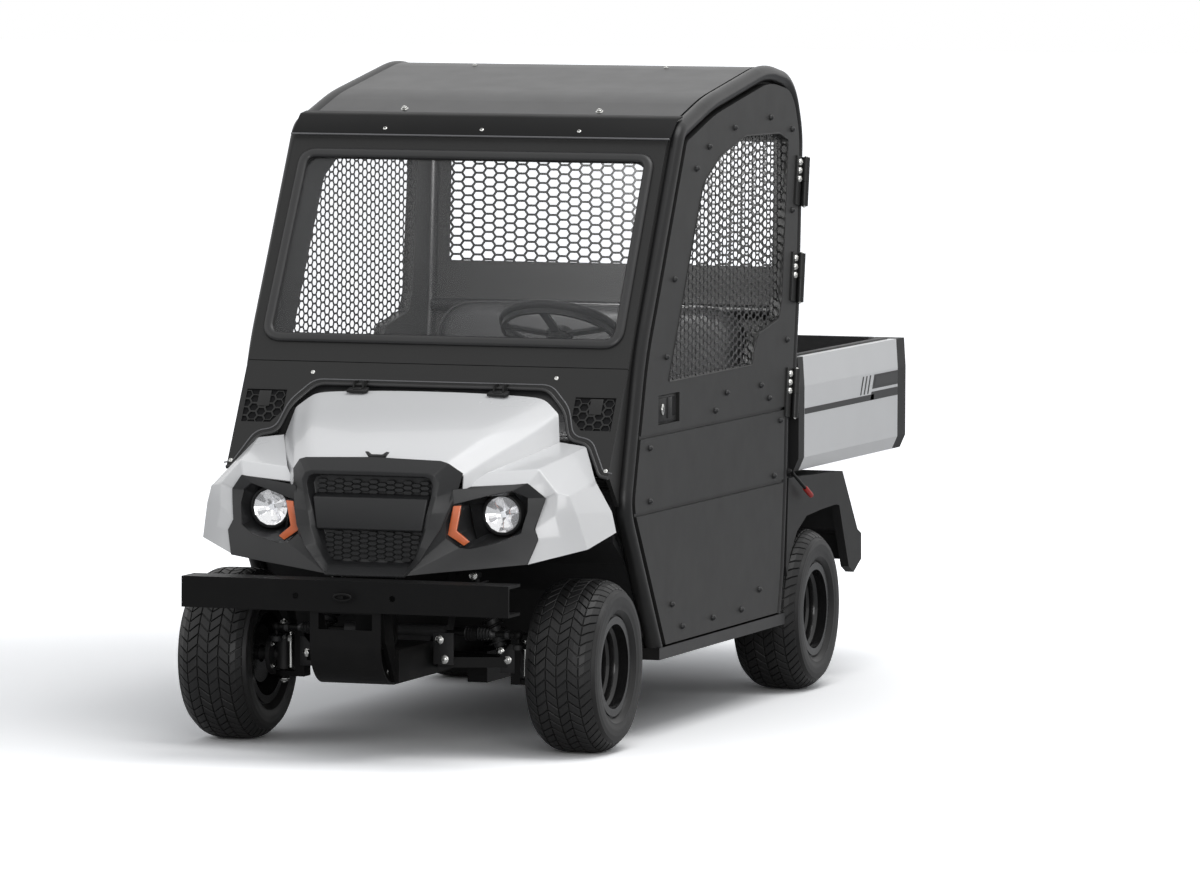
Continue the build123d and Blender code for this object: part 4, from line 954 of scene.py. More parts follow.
@dataclass
class CabShell(Builder):
    """Front panels, vents, hood seal, roof and rear window. Sizes in millimetres."""

    vent: tuple[Pair, ...] = ((442, 1014), (575, 1014), (575, 914), (478, 914), (442, 950))
    hood_cut: tuple[Pair, ...] = ((588, 788), (562, 792), (510, 880), (450, 889), (423, 967),
                                  (357, 1029))
    mesh_half: float = 530.0

    def windscreen(self) -> None:
        """The pane and the rounded rubber frame that overlaps the panel round it."""
        half = [(545, slope(1159)), (540, slope(1689))]
        corners = [half[0], half[1], (-half[1][0], half[1][1]), (-half[0][0], half[0][1])]
        line = arc_corners(corners, (48, 40, 40, 48), 8)
        ring = tube("windscreen_rubber_frame", [(x * MM, y * MM, 0) for x, y in line], 15.5,
                    cyclic=True, facets=4)
        ring.data.transform(front_spot(0, COWL_FOOT[1], 1.5) @ Matrix.Diagonal((1, 1, 0.62, 1)))
        self.fit(ring, "chassis", "seal_rubber", "seal_rubber", "windscreen_seal")
        # The pane's pale haze is a painted sheen.
        pane = plate("windscreen_pane", line, 5, front_spot(0, COWL_FOOT[1], -8), 0.8)
        self.fit(pane, "chassis", "screen_glass", "screen_glass", "windscreen_glass")

    def visor(self) -> None:
        """The folded strip under the roof's front edge, ending between the tubes."""
        profile = [(585, 1748), (648, 1799), (655, 1803.5), (704, 1810), (704, 1804), (657, 1796),
                   (588, 1742)]
        outline = [(y * MM, z * MM) for y, z in profile]
        strip = shell("roof_visor_strip", [(-0.592, FRONT_AXLE + y, z) for y, z in outline], (),
                      [list(range(len(outline)))])
        edit(strip)
        push(strip, (1.184, 0, 0))
        apply_modifier(strip, "BEVEL", width=1.6 * MM, segments=2, limit_method="ANGLE",
                       angle_limit=0.6)
        # The visor's darker black is painted shade under the roof's edge.
        self.fit(smooth(strip), "chassis", "visor_painted_shade", "cab_black", "roof_visor")
        # A thin bead under the visor, pale as a painted highlight.
        low = plane((0, FRONT_AXLE + 0.580, 1.744), RIGHT, FRONT_NORMAL)
        self.fit(block("visor_lower_bead", (1186, 5, 6), (0, 0, 2), 2.0, low), "chassis",
                 "painted_highlight_line", "cab_black")

    def vents(self) -> None:
        """Hexagon grilles over dark plates of painted shade, each with a flat pad."""
        sheet = HexSheet(reach=16.5, flat=8.6, rise=13.6, strand=5.0, thick=4.4)
        grid = front_spot(0, COWL_FOOT[1], -5.6)
        for side, word in SIDES:
            outline = [(side * x, slope(z)) for x, z in self.vent]
            core = [(side * x, slope(z))
                    for x, z in ((452, 1004), (566, 1004), (566, 924), (482, 924), (452, 954))]
            # A thin dark plate behind the grille: painted shade in the vent opening.
            shade_plate = plate(f"{word}_vent_painted_shade", outline, 0.6, grid, 0)
            self.fit(shade_plate, "chassis", "painted_shade_black", "cab_black")
            web = sheet.sheet(f"{word}_vent_web", core, grid)
            rim = plate(f"{word}_vent_rim", outline, 5.4, grid)
            edit(rim, "FACE")
            pick_faces(rim, lambda face: len(face.vertices) == len(outline))
            bpy.ops.mesh.inset(thickness=4.5 * MM, depth=0)
            bpy.ops.mesh.delete(type="FACE")
            bpy.ops.mesh.select_all(action="DESELECT")
            done(rim)
            pad = block("pad", (38, 50, 5.0), (side * 513, slope(985), 2.7), 0.8, grid)
            self.fit(weld(f"{word}_vent_grille", [web, rim, pad]), "chassis", "cab_powder_coat",
                     "cab_black")

    def hood_seal(self) -> None:
        """The rubber edging of the cut-out round the hood, and a pressed line beside it, pale as a
        painted highlight.
        """
        half = [(x, z) for x, z in self.hood_cut]
        path = half + [(-x, z) for x, z in reversed(half)]
        for name, radius, grow, lift, finish, slot in (
                ("hood_cutout_edging", 5.5, 0, 1.0, "seal_rubber", "seal_rubber"),
                ("hood_cutout_bead", 2.2, 13, 0.2, "painted_highlight_line", "cab_black")):
            line = []
            for x, z in path:
                side = 1 if x > 0 else -1
                line.append(front_spot(x + side * grow * 0.75, z + grow, lift).translation)
            self.fit(tube(name, rounded(line, 0.028, 5), radius), "chassis", finish, slot)

    def bolts(self) -> None:
        """Bright button heads on the cowl, visor and roof."""
        visor_normal = Vector((0, -1, 1.308)).normalized()
        places = [front_spot(s * x, z) for s, _ in SIDES for x, z in ((377, 1061), (578, 807))]
        places += [pointing((x * MM, -0.5967, 1.763), visor_normal) for x in (-304, 0, 304)]
        self.plated(Fastener.socket("cab_front_screws", 7.0, 3.2, places))
        roof = []
        for x, y, tilt in ((307, 781, -0.42), (308, 1405, -0.16)):
            station = FRONT_AXLE + y * MM
            height = self.roof_height(station)
            for side in (1, -1):
                roof.append(pointing((side * x * MM, station, height), (0, tilt, 1)))
        self.plated(Fastener.hexagon("roof_bolts", 8.5, 6.5, roof))

    @staticmethod
    def roof_height(station: float) -> float:
        """Top of the roof sheet at a station, from the CAD node's own corners."""
        corners = [v.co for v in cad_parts["roof_panel"].data.vertices]
        outer = sorted({(round(c.y, 4), round(c.z, 4)) for c in corners})
        best: dict[float, float] = {}
        for y, z in outer:
            best[y] = max(z, best.get(y, 0.0))
        rows = sorted(best.items())
        for (y0, z0), (y1, z1) in zip(rows, rows[1:]):
            if y0 <= station <= y1:
                return z0 + (z1 - z0) * (station - y0) / (y1 - y0)
        return rows[-1][1]

    def rear_window(self) -> None:
        """Punched sheet in the rear wall, with its flat border."""
        low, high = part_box("rear_window_mesh")
        span = Vector((0, high.y - low.y - 0.004, high.z - low.z))
        normal = RIGHT.cross(span).normalized()
        grid = plane((0, low.y, low.z), RIGHT, normal)
        tall = span.length / MM
        half = self.mesh_half
        outline = [(-half - 8, -6), (half + 8, -6), (half + 8, tall + 6), (-half - 8, tall + 6)]
        sheet = HexSheet(22.5, 12.5, 14.1, 7.0).sheet("rear_window_web", outline, grid)
        self.fit(sheet, "chassis", "wire_mesh_paint", "mesh_black", "rear_window_mesh")
        bars = [[(-half, 0), (half, 0)], [(-half, 0), (-half, tall)], [(half, 0), (half, tall)]]
        frame_bars = [tube("bar", [grid @ Vector((x * MM, y * MM, 0)) for x, y in bar], 4.0,
                           facets=1)
                      for bar in bars]
        frame_bars.append(block("bar", (2 * half + 8, 18, 6), (0, tall + 6, 0), 1.5, grid))
        self.fit(weld("rear_window_border", frame_bars), "chassis", "cab_powder_coat", "cab_black")

    def rear_rivets(self) -> None:
        """Rivets round the rear wall."""
        low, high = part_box("rear_window_mesh")
        lean = (high.y - low.y) / (high.z - low.z)
        places = []
        for z in (1.275, 1.735):
            for i in range(7):
                x = -0.51 + 0.17 * i
                if abs(z - 1.735) < 0.01 and i in (0, 6):
                    continue
                y = low.y + (z - low.z) * lean + 0.0085
                places.append(pointing((x, y, z), (0, 1, -lean)))
        self.fit(Fastener.dome("rear_wall_rivets", 8, 4.5, places), "chassis", "cab_powder_coat",
                 "cab_black")

    def build(self) -> None:
        """Builds and paints the cab."""
        self.dress("cab_powder_coat", "windscreen_panel", "cowl_panel", "cowl_side_returns",
                   "rear_wall_panel")
        self.dress("tube_powder_coat", "cab_tube_frame", "door_hinge_brackets", "rocker_sills")
        self.dress("roof_paint", "roof_panel")
        self.windscreen()
        self.visor()
        self.vents()
        self.hood_seal()
        self.bolts()
        self.rear_window()
        self.rear_rivets()


# ---------------------------------------------------------------- doors
def arc_corners(points: Sequence[Pair], radii: Sequence[float], steps: int = 5) -> list[Pair]:
    """A closed outline with rounded corners, in millimetres."""
    result: list[Pair] = []
    count = len(points)
    for i in range(count):
        corner = Vector((*points[i], 0))
        back = Vector((*points[i - 1], 0)) - corner
        onward = Vector((*points[(i + 1) % count], 0)) - corner
        half = back.angle(onward) / 2
        reach = min(radii[i] / math.tan(half), back.length * 0.45, onward.length * 0.45)
        start, end = corner + back.normalized() * reach, corner + onward.normalized() * reach
        for step in range(steps + 1):
            t = step / steps
            spot = start * (1 - t) ** 2 + corner * 2 * t * (1 - t) + end * t ** 2
            result.append((spot.x, spot.y))
    return result


@dataclass
class Doors(Builder):
    """Mesh windows, rivets, latches and hinge screws.

    Stations are behind the front axle, in millimetres.
    """

    skin: float = 615.0
    window: tuple[Pair, ...] = (
        (510, 1038), (736, 1442), (835, 1608), (994, 1682), (1236, 1735), (1575, 1733),
        (1664, 1711), (1608, 1225), (1577, 1165), (1379, 1132), (1342, 1096), (1312, 1041))
    bends: tuple[float, ...] = (10, 60, 60, 120, 160, 60, 14, 40, 30, 30, 30, 20)
    rivets: tuple[Pair, ...] = (
        (766, 1653), (885, 1714), (1131, 1763), (1485, 1783), (1703, 1741), (1708, 1493),
        (562, 1336), (490, 1112), (1661, 1099), (1065, 973), (1403, 975), (1484, 931), (957, 926),
        (340, 855), (1599, 856), (342, 700), (1537, 691), (551, 382), (650, 309), (941, 309),
        (1218, 309), (1395, 355))
    hinges: tuple[float, ...] = (932, 1284, 1577)

    def spot(self, side: int, y: float, z: float, lift: float = 0.0) -> Matrix:
        """A frame on a door's skin; local Z points outwards."""
        return plane((side * (self.skin + lift) * MM, FRONT_AXLE + y * MM, z * MM), (0, 1, 0),
                     (side, 0, 0))

    def lattice(self, side: int, word: str) -> None:
        """The punched sheet in the window, and the return edge round it."""
        grid = plane((side * 0.5988, FRONT_AXLE, 0), (0, 1, 0), (1, 0, 0))
        if side < 0:
            grid = plane((-0.6012, FRONT_AXLE, 0), (0, 1, 0), (1, 0, 0))
        outline = arc_corners(self.window, self.bends)
        wide = [(y + (7 if y > 1100 else -7), z + (6 if z > 1300 else -6)) for y, z in outline]
        sheet = HexSheet().sheet(f"{word}_door_web", wide, grid)
        self.fit(sheet, f"{word}_door", "wire_mesh_paint", "mesh_black", f"{word}_door_mesh")
        edge = [self.spot(side, y, z, -0.5).translation for y, z in outline]
        self.fit(tube(f"{word}_door_window_edge", edge, 2.6, cyclic=True, facets=1), f"{word}_door",
                 "cab_powder_coat", "cab_black")

    def latch(self, side: int, word: str) -> None:
        """Recessed escutcheon with a paddle and an oval key lock."""
        base = self.spot(side, 518, 960)
        parts = [block("escutcheon", (188, 80, 2.0), (0, 0, -9.0), 1.0, base)]
        # The pit is a dark block of painted shade in the latch's recess.
        pit = block("pit", (58, 56, 1.2), (52, 4, -7.6), 0.5, base)
        paddle = block("paddle", (40, 62, 5), (18, 2, -5.0), 2.0, base)
        lip = block("lip", (120, 66, 3.0), (-22, 0, -7.0), 1.2, base)
        parts += [paddle, lip]
        self.fit(weld(f"{word}_door_escutcheon", parts), f"{word}_door", "trim_plastic",
                 "cab_black")
        self.fit(pit, f"{word}_door", "painted_shade_black", "cab_black")
        oval = [(11 * math.cos(a), 17 * math.sin(a))
                for a in [i * math.tau / 20 for i in range(20)]]
        lock_at = base @ Matrix.Translation((-50 * MM, 0, -6.0 * MM))
        lock = plate(f"{word}_door_lock", oval, 5.5, lock_at, 1.6)
        # The keyway is a dark slit of painted shade.
        slit = block(f"{word}_door_keyway", (2.4, 14, 0.6), (0, 0, 5.6), 0.2, lock_at)
        self.plated(lock, f"{word}_door")
        self.fit(slit, f"{word}_door", "painted_shade_black", "zinc")

    def hinge_screws(self, side: int, word: str) -> None:
        """Three screws on each leaf and bright ends on the pins."""
        screws, pins = [], []
        for z in self.hinges:
            base = 0.510 + (z - self.hinges[0]) * MM * HINGE_LEAN
            axis = Vector((0, HINGE_LEAN, 1)).normalized()
            for k in (12, 38, 64):
                at = Vector((side * 0.6202, base - 0.036, z * MM)) + axis * (k - 2) * MM
                screws.append(pointing(at, (side, 0, 0)))
            for k, flip in ((75.2, 1), (-75.2, -1)):
                at = Vector((side * 0.628, base, z * MM)) + axis * k * MM
                pins.append((pointing(at, axis * flip), flip))
        self.plated(Fastener.socket(f"{word}_hinge_screws", 11.0, 7.0, screws), f"{word}_door")
        profile = [(0, 4.5), (3.2, 4.2), (5.4, 2.6), (6.2, 0), (6.2, -1), (0, -1)]
        tops = copies(lathe("pin", profile, 16, HERE), [grid for grid, _ in pins])
        self.plated(weld(f"{word}_hinge_pin_ends", tops))

    def build(self) -> None:
        """Builds both doors."""
        for side, word in SIDES:
            body = f"{word}_door"
            self.dress("cab_powder_coat", f"{word}_door_panel")
            self.lattice(side, word)
            places = [self.spot(side, y, z) for y, z in self.rivets]
            self.fit(Fastener.dome(f"{word}_door_rivets", 9.5, 11.0, places), body, "roof_paint",
                     "cab_black")
            self.latch(side, word)
            self.hinge_screws(side, word)


# ---------------------------------------------------------------- front body
def fore(x: float, y: float, z: float) -> Vector:
    """A point given in millimetres, with y measured back from the front axle."""
    return Vector((x * MM, FRONT_AXLE + y * MM, z * MM))


def handed(side: int, points: Sequence[Triple]) -> list[Triple]:
    """Points of the driver's side, or their mirror images for the other side."""
    return [(side * x, y, z) for x, y, z in points]


def turn_outward(piece: Object, anchor: Vector) -> Object:
    """Turns a skin's faces so that they point away from a point inside it."""
    edit(piece)
    heal(piece)
    if sum(face.normal.dot(face.center - anchor) * face.area for face in piece.data.polygons) < 0:
        piece.data.flip_normals()
    return piece


def moulded(name: str, points: Sequence[Triple], faces: Sequence[Sequence[int]], anchor: Vector,
            bevel: float, thick: float, angle: float = 9.0) -> Object:
    """A moulded panel from corner points and facets, with its edges rounded.

    Args:
        name: The piece's name.
        points: Corners in millimetres, stations behind the front axle.
        faces: Facets as indices of the corners.
        anchor: A point inside the body that the skin covers, in metres.
        bevel: Width of the rounded edges in millimetres.
        thick: Thickness of the skin in millimetres.
        angle: The least bend in degrees that is rounded.

    Returns:
        The finished panel.
    """
    piece = turn_outward(shell(name, [fore(*p) for p in points], (), faces), anchor)
    apply_modifier(piece, "BEVEL", width=bevel * MM, segments=3, limit_method="ANGLE",
                   angle_limit=math.radians(angle), loop_slide=True)
    apply_modifier(piece, "SOLIDIFY", thickness=thick * MM, offset=-1)
    return smooth(piece, 32)


def draped(name: str, rows: Sequence[Sequence[Triple]], creases: dict[int, float], anchor: Vector,
           thick: float, levels: int = 3) -> Object:
    """A smooth panel over rows of points, with crisp lines down some columns.

    Args:
        name: The piece's name.
        rows: Rows of points in millimetres, stations behind the front axle.
        creases: Sharpness of the line down a column, by the column's number.
        anchor: A point inside the body that the skin covers, in metres.
        thick: Thickness of the skin in millimetres.
        levels: Steps of subdivision.

    Returns:
        The finished panel.
    """
    wide = len(rows[0])
    faces = [(r * wide + c, r * wide + c + 1, (r + 1) * wide + c + 1, (r + 1) * wide + c)
             for r in range(len(rows) - 1) for c in range(wide - 1)]
    piece = turn_outward(shell(name, [fore(*p) for row in rows for p in row], (), faces), anchor)
    crisp = piece.data.attributes.new("crease_edge", "FLOAT", "EDGE")
    for edge in piece.data.edges:
        first, second = (v % wide for v in edge.vertices)
        crisp.data[edge.index].value = creases.get(first, 0.0) if first == second else 0.0
    apply_modifier(piece, "SUBSURF", levels=levels, render_levels=levels,
                   boundary_smooth="PRESERVE_CORNERS")
    apply_modifier(piece, "SOLIDIFY", thickness=thick * MM, offset=-1)
    return smooth(piece, 30)


def hoops(count: int, bands: int) -> list[tuple[int, ...]]:
    """Facets between closed rings of points, each ring with the same count."""
    return [(band * count + i, band * count + (i + 1) % count,
             (band + 1) * count + (i + 1) % count, (band + 1) * count + i)
            for band in range(bands) for i in range(count)]


def both_ways(rows: Sequence[Sequence[Triple]]) -> list[list[Triple]]:
    """Rows that start on the centre line, completed with their mirror images."""
    return [[(-x, y, z) for x, y, z in reversed(row[1:])] + list(row) for row in rows]


@dataclass
class FrontBody(Builder):
    """Hood, fenders, grille mask and lamps. Stations behind the front axle, millimetres."""

    lamp_x: float = 354.0
    lamp_z: float = 695.0
    lamp_r: float = 53.0
    lamp_y: float = -188.0
    skin: float = 4.0
    tile: Pair = (26.0, 14.6)
    hood_rows: tuple[tuple[Triple, ...], ...] = (
        ((0, 166, 1016), (190, 164, 1014), (352, 158, 1006), (406, 134, 962), (424, 92, 880)),
        ((0, 42, 979), (165, 40, 977), (318, 37, 964), (371, 20, 914), (389, -6, 852)),
        ((0, -85, 940), (150, -84, 938), (278, -83, 925), (331, -85, 876), (346, -104, 828)),
        ((0, -205, 888), (135, -204, 886), (236, -202, 874), (288, -192, 836), (302, -202, 792)),
        ((0, -270, 851), (115, -269, 850), (206, -263, 844), (258, -262, 808), (262, -280, 768)))
    fender: tuple[Triple, ...] = (
        (426, 90, 884), (507, 85, 874), (455, -180, 827), (305, -199, 813),
        (556, 26, 780), (548, -181, 753), (515, -195, 760), (437, -214, 786),
        (264, -256, 776), (478, -180, 743), (600, 46, 690), (613, 46, 632),
        (580, -152, 640), (590, -140, 597), (450, -256, 559), (472, -226, 628),
        (458, -218, 658), (514, -196, 694), (526, -190, 634), (520, -198, 578), (566, -168, 700))
    fender_faces: tuple[tuple[int, ...], ...] = (
        (0, 1, 2, 3), (1, 4, 5, 6), (1, 6, 2), (3, 2, 7, 8), (2, 6, 9, 7), (9, 6, 17, 16),
        (6, 5, 20, 17), (16, 17, 18, 15), (17, 20, 12, 18), (15, 18, 19, 14), (18, 12, 13, 19),
        (5, 4, 10, 20), (20, 10, 11, 12), (12, 11, 13))
    wing_rim: tuple[Triple, ...] = (
        (240, -302, 770), (330, -270, 779), (437, -224, 788), (480, -187, 744), (470, -209, 700),
        (460, -230, 659), (474, -236, 629), (452, -268, 560), (330, -310, 547), (215, -347, 536),
        (116, -378, 525), (161, -362, 568), (219, -344, 664))
    wing_cup: tuple[Triple, ...] = (
        (243, -306, 727), (330, -280, 751), (399, -244, 766), (433, -213, 745), (437, -226, 708),
        (430, -241, 672), (426, -249, 646), (377, -286, 623), (330, -296, 611), (292, -302, 602),
        (262, -310, 605), (226, -322, 632), (225, -320, 680))
    mask_rim: tuple[Triple, ...] = (
        (0, -318, 858), (205, -312, 852), (226, -308, 846), (259, -272, 815), (250, -290, 768),
        (232, -333, 706), (219, -350, 660), (185, -370, 602), (161, -364, 568), (119, -380, 524),
        (0, -384, 523))
    mask_mouth: tuple[Triple, ...] = (
        (0, -341, 806), (168, -341, 806), (184, -341, 800), (192, -341, 782), (186, -341, 748),
        (172, -340, 700), (163, -339, 660), (147, -335, 610), (136, -330, 578), (122, -324, 553),
        (0, -324, 551))

    def hood(self) -> None:
        """The hood: a crowned top with crisp side ridges, and its black hinge covers."""
        panel = draped("hood_skin", both_ways(self.hood_rows), {1: 0.85, 2: 0.35, 6: 0.35, 7: 0.85},
                       fore(0, -40, 700), self.skin)
        self.fit(panel, "hood", "white_body_gloss", "body_white", "hood")
        for side, word in SIDES:
            grid = plane(fore(side * 217, 147, 1011), (1, 0, 0), (0, -0.32, 1))
            cover = [plate("cover", [(-33, -11), (24, -16), (33, -6), (30, 16), (-30, 16)], 9, grid,
                           2.5),
                     block("strap", (26, 20, 5), (0, 3, 9), 1.5, grid)]
            self.fit(weld(f"{word}_hood_hinge_cover", cover), "hood", "trim_plastic", "cab_black")
        grip = plane(fore(0, -272, 852), RIGHT, (0, -1, 0.12))
        bow = [(-24, 0), (24, 0), (36, 17), (29, 18), (18, 10), (-18, 10), (-29, 18), (-36, 17)]
        parts = [plate("bow", bow, 13, grip, 1.6),
                 block("stem", (44, 30, 9), (0, -6, -4), 2.0, grip)]
        self.fit(weld("hood_rubber_latch", parts), "chassis", "seal_rubber", "trim_black",
                 "hood_latch")

    def fenders(self) -> None:
        """The painted fenders and their inner liners, near-black as painted shade under the
        fenders.
        """
        for side, word in SIDES:
            points = handed(side, self.fender)
            panel = moulded(f"{word}_fender_skin", points, self.fender_faces,
                            fore(side * 400, 0, 640), 5.0, self.skin)
            self.fit(panel, "chassis", "white_body_gloss", "body_white", "front_fenders")
            liner = [(450, -248, 564), (586, -134, 602), (608, 42, 636), (430, 46, 636),
                     (300, -244, 566), (424, 86, 872), (303, -192, 803), (262, -250, 768)]
            faces = [(0, 1, 2, 3, 4), (4, 3, 5, 6, 7)]
            inner = moulded(f"{word}_fender_liner", handed(side, liner), faces,
                            fore(side * 500, 0, 700), 1.0, 3.0, 60)
            self.fit(inner, "chassis", "painted_shade_black", "trim_black")

    def fit_mask(self, piece: Object) -> None:
        """Mounts a piece of the grille mask."""
        self.fit(piece, "chassis", "fascia_plastic", "fascia_grey", "grille_fascia")

    def wing(self, side: int, word: str) -> None:
        """One side of the mask: a flat rim round a deep cup that narrows to the lamp.

        Args:
            side: +1 for the driver's side.
            word: The side's name.
        """
        rim, cup = handed(side, self.wing_rim), handed(side, self.wing_cup)
        lip = [(x, y + 5, z) for x, y, z in cup]
        throat = []
        for x, _, z in cup:
            away = Vector((x - side * self.lamp_x,
                           z - self.lamp_z)).normalized() * (self.lamp_r + 13)
            throat.append((side * self.lamp_x + away.x, self.lamp_y - 2, self.lamp_z + away.y))
        points, faces = rim + cup + lip + throat, hoops(len(rim), 3)
        piece = moulded(f"{word}_mask_wing", points, faces, fore(side * 340, 300, 690), 2.4, 4.0,
                        18)
        self.fit_mask(piece)

    def mask(self) -> None:
        """The thick frame round the mouth, its floor, tiles and bare band."""
        rim, mouth = both_ways([self.mask_rim])[0], both_ways([self.mask_mouth])[0]
        rim, mouth = rim[:-1], mouth[:-1]
        bead = []
        for a, b in zip(rim, mouth):
            spot = Vector(a).lerp(Vector(b), 0.74)
            bead.append((spot.x, spot.y - 9, spot.z))
        floor = [(x * 0.965, -298 - (806 - z) * 0.05, 679 + (z - 679) * 0.97) for x, _, z in mouth]
        count = len(rim)
        points, faces = rim + bead + mouth + floor, hoops(count, 3)
        faces.append(tuple(range(3 * count, 4 * count)))
        frame_piece = moulded("mask_frame", points, faces, fore(0, 300, 690), 3.0, 4.0, 14)
        self.fit_mask(frame_piece)
        band = [(175, -336, 742), (160, -345, 650), (-160, -345, 650), (-175, -336, 742),
                (178, -296, 754), (162, -300, 644), (-162, -300, 644), (-178, -296, 754)]
        slab = moulded("mask_band", band,
                       [(0, 1, 2, 3), (4, 5, 1, 0), (5, 6, 2, 1), (6, 7, 3, 2), (7, 4, 0, 3)],
                       fore(0, -300, 696), 5.0, 3.0, 20)
        self.fit_mask(slab)
        self.tiles("mask_upper_tiles", [(-166, 753), (166, 753), (170, 792), (-170, 792)])
        self.tiles("mask_lower_tiles", [(-128, 562), (128, 562), (148, 641), (-148, 641)])

    def tiles(self, name: str, zone: Sequence[Pair]) -> None:
        """A field of raised flat hexagons inside a zone given as (X, Z)."""
        wide, tall = self.tile
        outline = [(-0.58 * wide, 0), (-0.36 * wide, -0.40 * tall), (0.36 * wide, -0.40 * tall),
                   (0.58 * wide, 0), (0.36 * wide, 0.40 * tall), (-0.36 * wide, 0.40 * tall)]
        master = plate("tile", outline, 7, HERE, 1.2, 1)
        low = min(z for _, z in zone)
        places = []
        for row in range(14):
            for column in range(-10, 11):
                x, z = column * wide, low + 4 + row * tall + (column % 2) * tall / 2
                if inside((x, z), zone):
                    places.append(plane(fore(x, -300 - (806 - z) * 0.05, z), RIGHT, (0, -1, -0.05)))
        self.fit_mask(weld(name, copies(master, places)))

    def lamp(self, side: int, word: str) -> None:
        """A headlamp: chrome bowl with facets, bulb shield, clear lens and black ring."""
        grid = ahead(fore(side * self.lamp_x, self.lamp_y, self.lamp_z))
        r = self.lamp_r
        bowl = lathe("bowl", [(0, 1), (12, 1.5), (26, 4), (38, 9), (r - 3, 15), (r - 1, 16),
                              (r - 1, 0), (0, 0)], 14, grid)
        bowl.data.shade_flat()
        fins = []
        for i in range(4):
            turn = grid @ Matrix.Rotation(math.radians(20 + 90 * i), 4, "Z")
            lean = turn @ raised(7) @ Matrix.Rotation(-0.22, 4, "Y")
            fins.append(plate("fin", [(9, -5), (40, -11), (45, 0), (40, 11), (9, 5)], 2.0, lean,
                              0.6))
        self.fit(weld(f"{word}_lamp_reflector", [bowl, *fins]), "chassis", "lamp_chrome",
                 "lamp_lens", "headlamps")
        glow = lathe(f"{word}_lamp_bulb", [(0, 13), (6, 12.4), (9, 9), (9.5, 5), (0, 5)], 20, grid)
        self.fit(glow, "chassis", "lamp_glow", "lamp_lens")
        lens = lathe(f"{word}_lamp_cover",
                     [(0, 23), (18, 22.4), (34, 20.6), (r - 1, 17.4), (r - 1, 16.4),
                      (34, 19.4), (18, 21.2), (0, 21.8)], 48, grid)
        self.fit(lens, "chassis", "lamp_glass", "lamp_lens")
        ring = lathe(f"{word}_lamp_ring",
                     [(r - 1, 19), (r + 2, 22), (r + 6, 21), (r + 9, 15), (r + 13, 5),
                      (r + 15, -3), (r - 1, -3), (r - 1, 19)], 48, grid)
        self.fit(ring, "chassis", "trim_plastic", "fascia_grey")

    def amber(self, side: int, word: str) -> None:
        """The bent amber side lamp in its thin black frame."""
        corners = [fore(side * x, y, z) for x, y, z in
                   ((243, -306, 724), (265, -296, 726), (252, -303, 653), (290, -298, 623),
                    (274, -304, 611), (228, -320, 641))]
        normal = (corners[2] - corners[0]).cross(corners[3] - corners[0])
        if normal.y > 0:
            normal = -normal
        grid = plane(corners[0], RIGHT, normal)
        flat = [(grid.inverted() @ c) / MM for c in corners]
        outline = [(p.x, p.y) for p in flat]
        centre = (sum(x for x, _ in outline) / 6, sum(y for _, y in outline) / 6)
        grown = [(centre[0] + (x - centre[0]) * 1.10, centre[1] + (y - centre[1]) * 1.05)
                 for x, y in outline]
        base = grid @ raised(-6)
        self.fit(plate(f"{word}_amber_lens", outline, 13, base, 1.6), "chassis", "amber_lens",
                 "amber_lens", "amber_side_lamps")
        self.fit(plate(f"{word}_amber_frame", grown, 9, base, 1.2), "chassis", "trim_plastic",
                 "fascia_grey")

    def build(self) -> None:
        """Builds and paints the front body."""
        self.hood()
        self.fenders()
        self.mask()
        for side, word in SIDES:
            self.wing(side, word)
            self.lamp(side, word)
            self.amber(side, word)


# ---------------------------------------------------------------- running gear
def helix(start: Vector, end: Vector, radius: float, turns: float,
          per_turn: int = 16) -> list[Vector]:
    """Points of a coil between two points, radius in millimetres."""
    axis = end - start
    grid = pointing(start, axis)
    count = int(turns * per_turn)
    points = []
    for i in range(count + 1):
        angle = math.tau * i / per_turn
        points.append(grid @ Vector((radius * MM * math.cos(angle), radius * MM * math.sin(angle),
                                     axis.length * i / count)))
    return points


